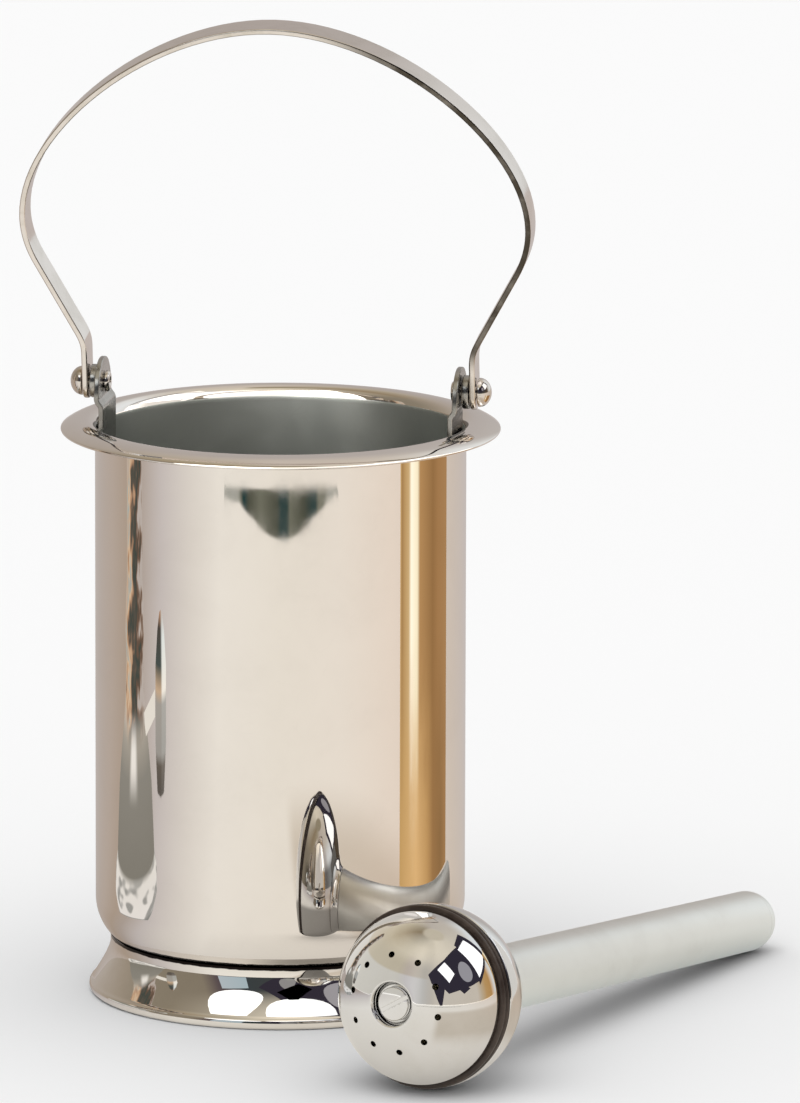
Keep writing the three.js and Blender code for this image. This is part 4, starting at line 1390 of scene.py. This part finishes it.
def candlestick_look():
    """Brown and dark stem with a highlight, over a pale knob with flat spots and a bright streak."""
    made, tree, colour = emitter("candlestick_look")
    own = as_seen(tree, own_place(tree), STICK_PLACE, MM)
    parts = split(tree, own)
    round_x = times(tree, parts["X"], parts["X"])
    round_y = times(tree, parts["Y"], parts["Y"])
    girth = math_node(tree, "SQRT", math_node(tree, "ADD", round_x, round_y))
    across = math_node(tree, "DIVIDE", parts["Y"], times(tree, girth, -2.0))
    patches = noise(tree, own, Scale=0.1, Detail=2.0)
    stray = times(tree, math_node(tree, "SUBTRACT", patches, 0.5), 1.1)
    stem = tone_ramp(tree, math_node(tree, "ADD", math_node(tree, "ADD", across, 0.5), stray), [
        (0.0, (0.55, 0.47, 0.40)), (0.1, (0.60, 0.43, 0.30)), (0.2, (0.40, 0.46, 0.45)),
        (0.3, (0.72, 0.53, 0.36)), (0.42, (0.48, 0.29, 0.18)), (0.52, (0.12, 0.10, 0.08)),
        (0.7, (0.06, 0.075, 0.065)), (0.84, (0.16, 0.10, 0.07)), (0.93, (0.36, 0.28, 0.23)),
        (0.97, (0.52, 0.47, 0.44))])
    knob = tone_ramp(tree, math_node(tree, "DIVIDE", parts["Z"], KNOB_TOP), [
        (0.0, (0.15, 0.16, 0.15)), (0.05, (0.78, 0.78, 0.76)), (0.08, (0.25, 0.26, 0.25)),
        (0.11, (0.86, 0.84, 0.82)), (0.26, (0.84, 0.82, 0.78)), (0.3, (0.24, 0.23, 0.2)),
        (0.72, (0.28, 0.27, 0.24)), (0.88, (0.42, 0.39, 0.34)), (1.0, (0.66, 0.62, 0.56))])
    streak = times(tree, stepped(tree, across, -0.05, 0.04), stepped(tree, across, 0.22, 0.12))
    shine = times(tree, streak, stepped(tree, parts["Z"], 36, 48))
    flattened = node(tree, "ShaderNodeMapping", own, Scale=(0.3, 0.3, 1.6)).outputs["Vector"]
    spots = stepped(tree, noise(tree, flattened, Scale=0.16, Detail=1.0), 0.5, 0.62)
    spotted = times(tree, spots, stepped(tree, parts["Z"], 20, 14), 0.8)
    lit = blend(tree, spotted, blend(tree, shine, knob, (0.9, 0.88, 0.84)), (0.24, 0.245, 0.235))
    feed(tree, colour, blend(tree, stepped(tree, parts["Z"], 50, 62), lit, stem))
    return made


def arm_look():
    """Dark on its left half and light on its right, with a bright part under its top."""
    made, tree, colour = emitter("candlestick_arm_look")
    parts = split(tree, as_seen(tree, own_place(tree), ARM_PLACE, MM))
    rising = math_node(tree, "DIVIDE", parts["Z"], ARM_TOP)
    left_half = tone_ramp(tree, rising, [
        (0.38, (0.10, 0.09, 0.08)), (0.5, (0.14, 0.12, 0.10)), (0.54, (0.36, 0.35, 0.33)),
        (0.7, (0.40, 0.38, 0.35)), (0.74, (0.60, 0.44, 0.30)), (0.82, (0.07, 0.09, 0.085)),
        (0.93, (0.08, 0.07, 0.06)), (0.97, (0.45, 0.27, 0.17))])
    right_half = tone_ramp(tree, rising, [
        (0.38, (0.12, 0.11, 0.10)), (0.5, (0.20, 0.18, 0.16)), (0.54, (0.42, 0.42, 0.40)),
        (0.7, (0.46, 0.46, 0.44)), (0.74, (0.98, 0.95, 0.88)), (0.9, (0.82, 0.88, 0.88)),
        (0.97, (0.62, 0.60, 0.58))])
    feed(tree, colour, blend(tree, stepped(tree, parts["Y"], 2, -2), left_half, right_half))
    return made


def stand(name, profile, sides, place, look):
    """A turned shape of the candlestick, put in its place."""
    piece = turned(name, profile, sides)
    piece.data.transform(Matrix.Translation(place))
    mirror_only(smooth(piece, 40), look)


STICK_PROFILE = [
    (0, 0), (20, 0), (36, 1), (48, 4), (54, 8), (53, 12), (48, 16), (46, 24), (42, 36), (35, 46), (28, 54),
    (24, 62), (22, 72), (25, 80), (23, 88), (20, 96), (20, 230), (0, 230)]
ARM_PROFILE = [(0, 34), (7, 36), (11, 50), (11, 72), (7, 82), (3, 87), (0, 88)]
BOW_CORNERS = ((-158, -49, 66), (-158, -49, 58), (-168, -14, 46), (-168, -14, 54))
stand("candlestick", STICK_PROFILE, SLIM, STICK_PLACE, candlestick_look())
stand("candlestick_arm", ARM_PROFILE, TINY, ARM_PLACE, arm_look())
bow_look = emitter("candlestick_bow_look", (0.85, 0.82, 0.76))[0]
card("candlestick_bow", [placed(*corner) for corner in BOW_CORNERS], bow_look)


def room_air():
    """Even pale light for the camera and for soft shading, and the room for polished metal."""
    world = bpy.data.worlds.new("studio_air")
    bpy.context.scene.world = world
    world.use_nodes = True
    air = world.node_tree
    air.nodes.clear()
    share, climb, _ = compass(air, node(air, "ShaderNodeTexCoord").outputs["Generated"])
    level = round_ramp(air, share, [
        (-180, (0.47, 0.43, 0.41)), (-150, (0.44, 0.39, 0.345)), (-125, (0.36, 0.31, 0.25)),
        (-100, (0.27, 0.235, 0.18)), (-55, (0.24, 0.205, 0.155)), (-44, (0.11, 0.085, 0.09)),
        (-24, (0.045, 0.055, 0.06)), (60, (0.07, 0.06, 0.05)), (95, (0.12, 0.09, 0.06)),
        (108, (0.76, 0.76, 0.74)), (128, (0.86, 0.90, 0.93)), (150, (0.80, 0.82, 0.82)),
        (163, (0.52, 0.49, 0.47)), (180, (0.47, 0.43, 0.41))])
    high = round_ramp(air, share, [
        (-180, (0.60, 0.54, 0.48)), (-141, (0.42, 0.36, 0.26)), (-106, (0.32, 0.25, 0.16)),
        (-60, (0.50, 0.45, 0.36)), (0, (0.86, 0.78, 0.64)), (90, (0.70, 0.64, 0.54)),
        (180, (0.60, 0.54, 0.48))])
    high = blend(air, stepped(air, climb, *ZENITH), high, (0.36, 0.31, 0.22))
    room = blend(air, stepped(air, climb, 0.55, 0.9), level, high)
    from_camera = math_node(air, "ABSOLUTE", math_node(air, "SUBTRACT", share, 0.5))
    low_down = times(air, second_look(air), stepped(air, climb, 0.55, 0.3))
    dimmed = ranged(air, times(air, low_down, stepped(air, from_camera, 0.22, 0.3)), 1.0, 0.32)
    even = node(air, "ShaderNodeBackground", Color=(0.86, 0.86, 0.86), Strength=1.0).outputs[0]
    seen = node(air, "ShaderNodeBackground", Color=room, Strength=dimmed).outputs[0]
    mirrors_see(air, even, seen, "ShaderNodeOutputWorld")


room_air()

overhead = bpy.data.lights.new("overhead_light", "SUN")
overhead.energy = 0.62
overhead.angle = math.radians(50)
overhead_light = bpy.data.objects.new("overhead_light", overhead)
bpy.context.collection.objects.link(overhead_light)
overhead_light.rotation_euler = (math.radians(24), math.radians(-14), VIEW_YAW)
overhead_light.visible_glossy = False
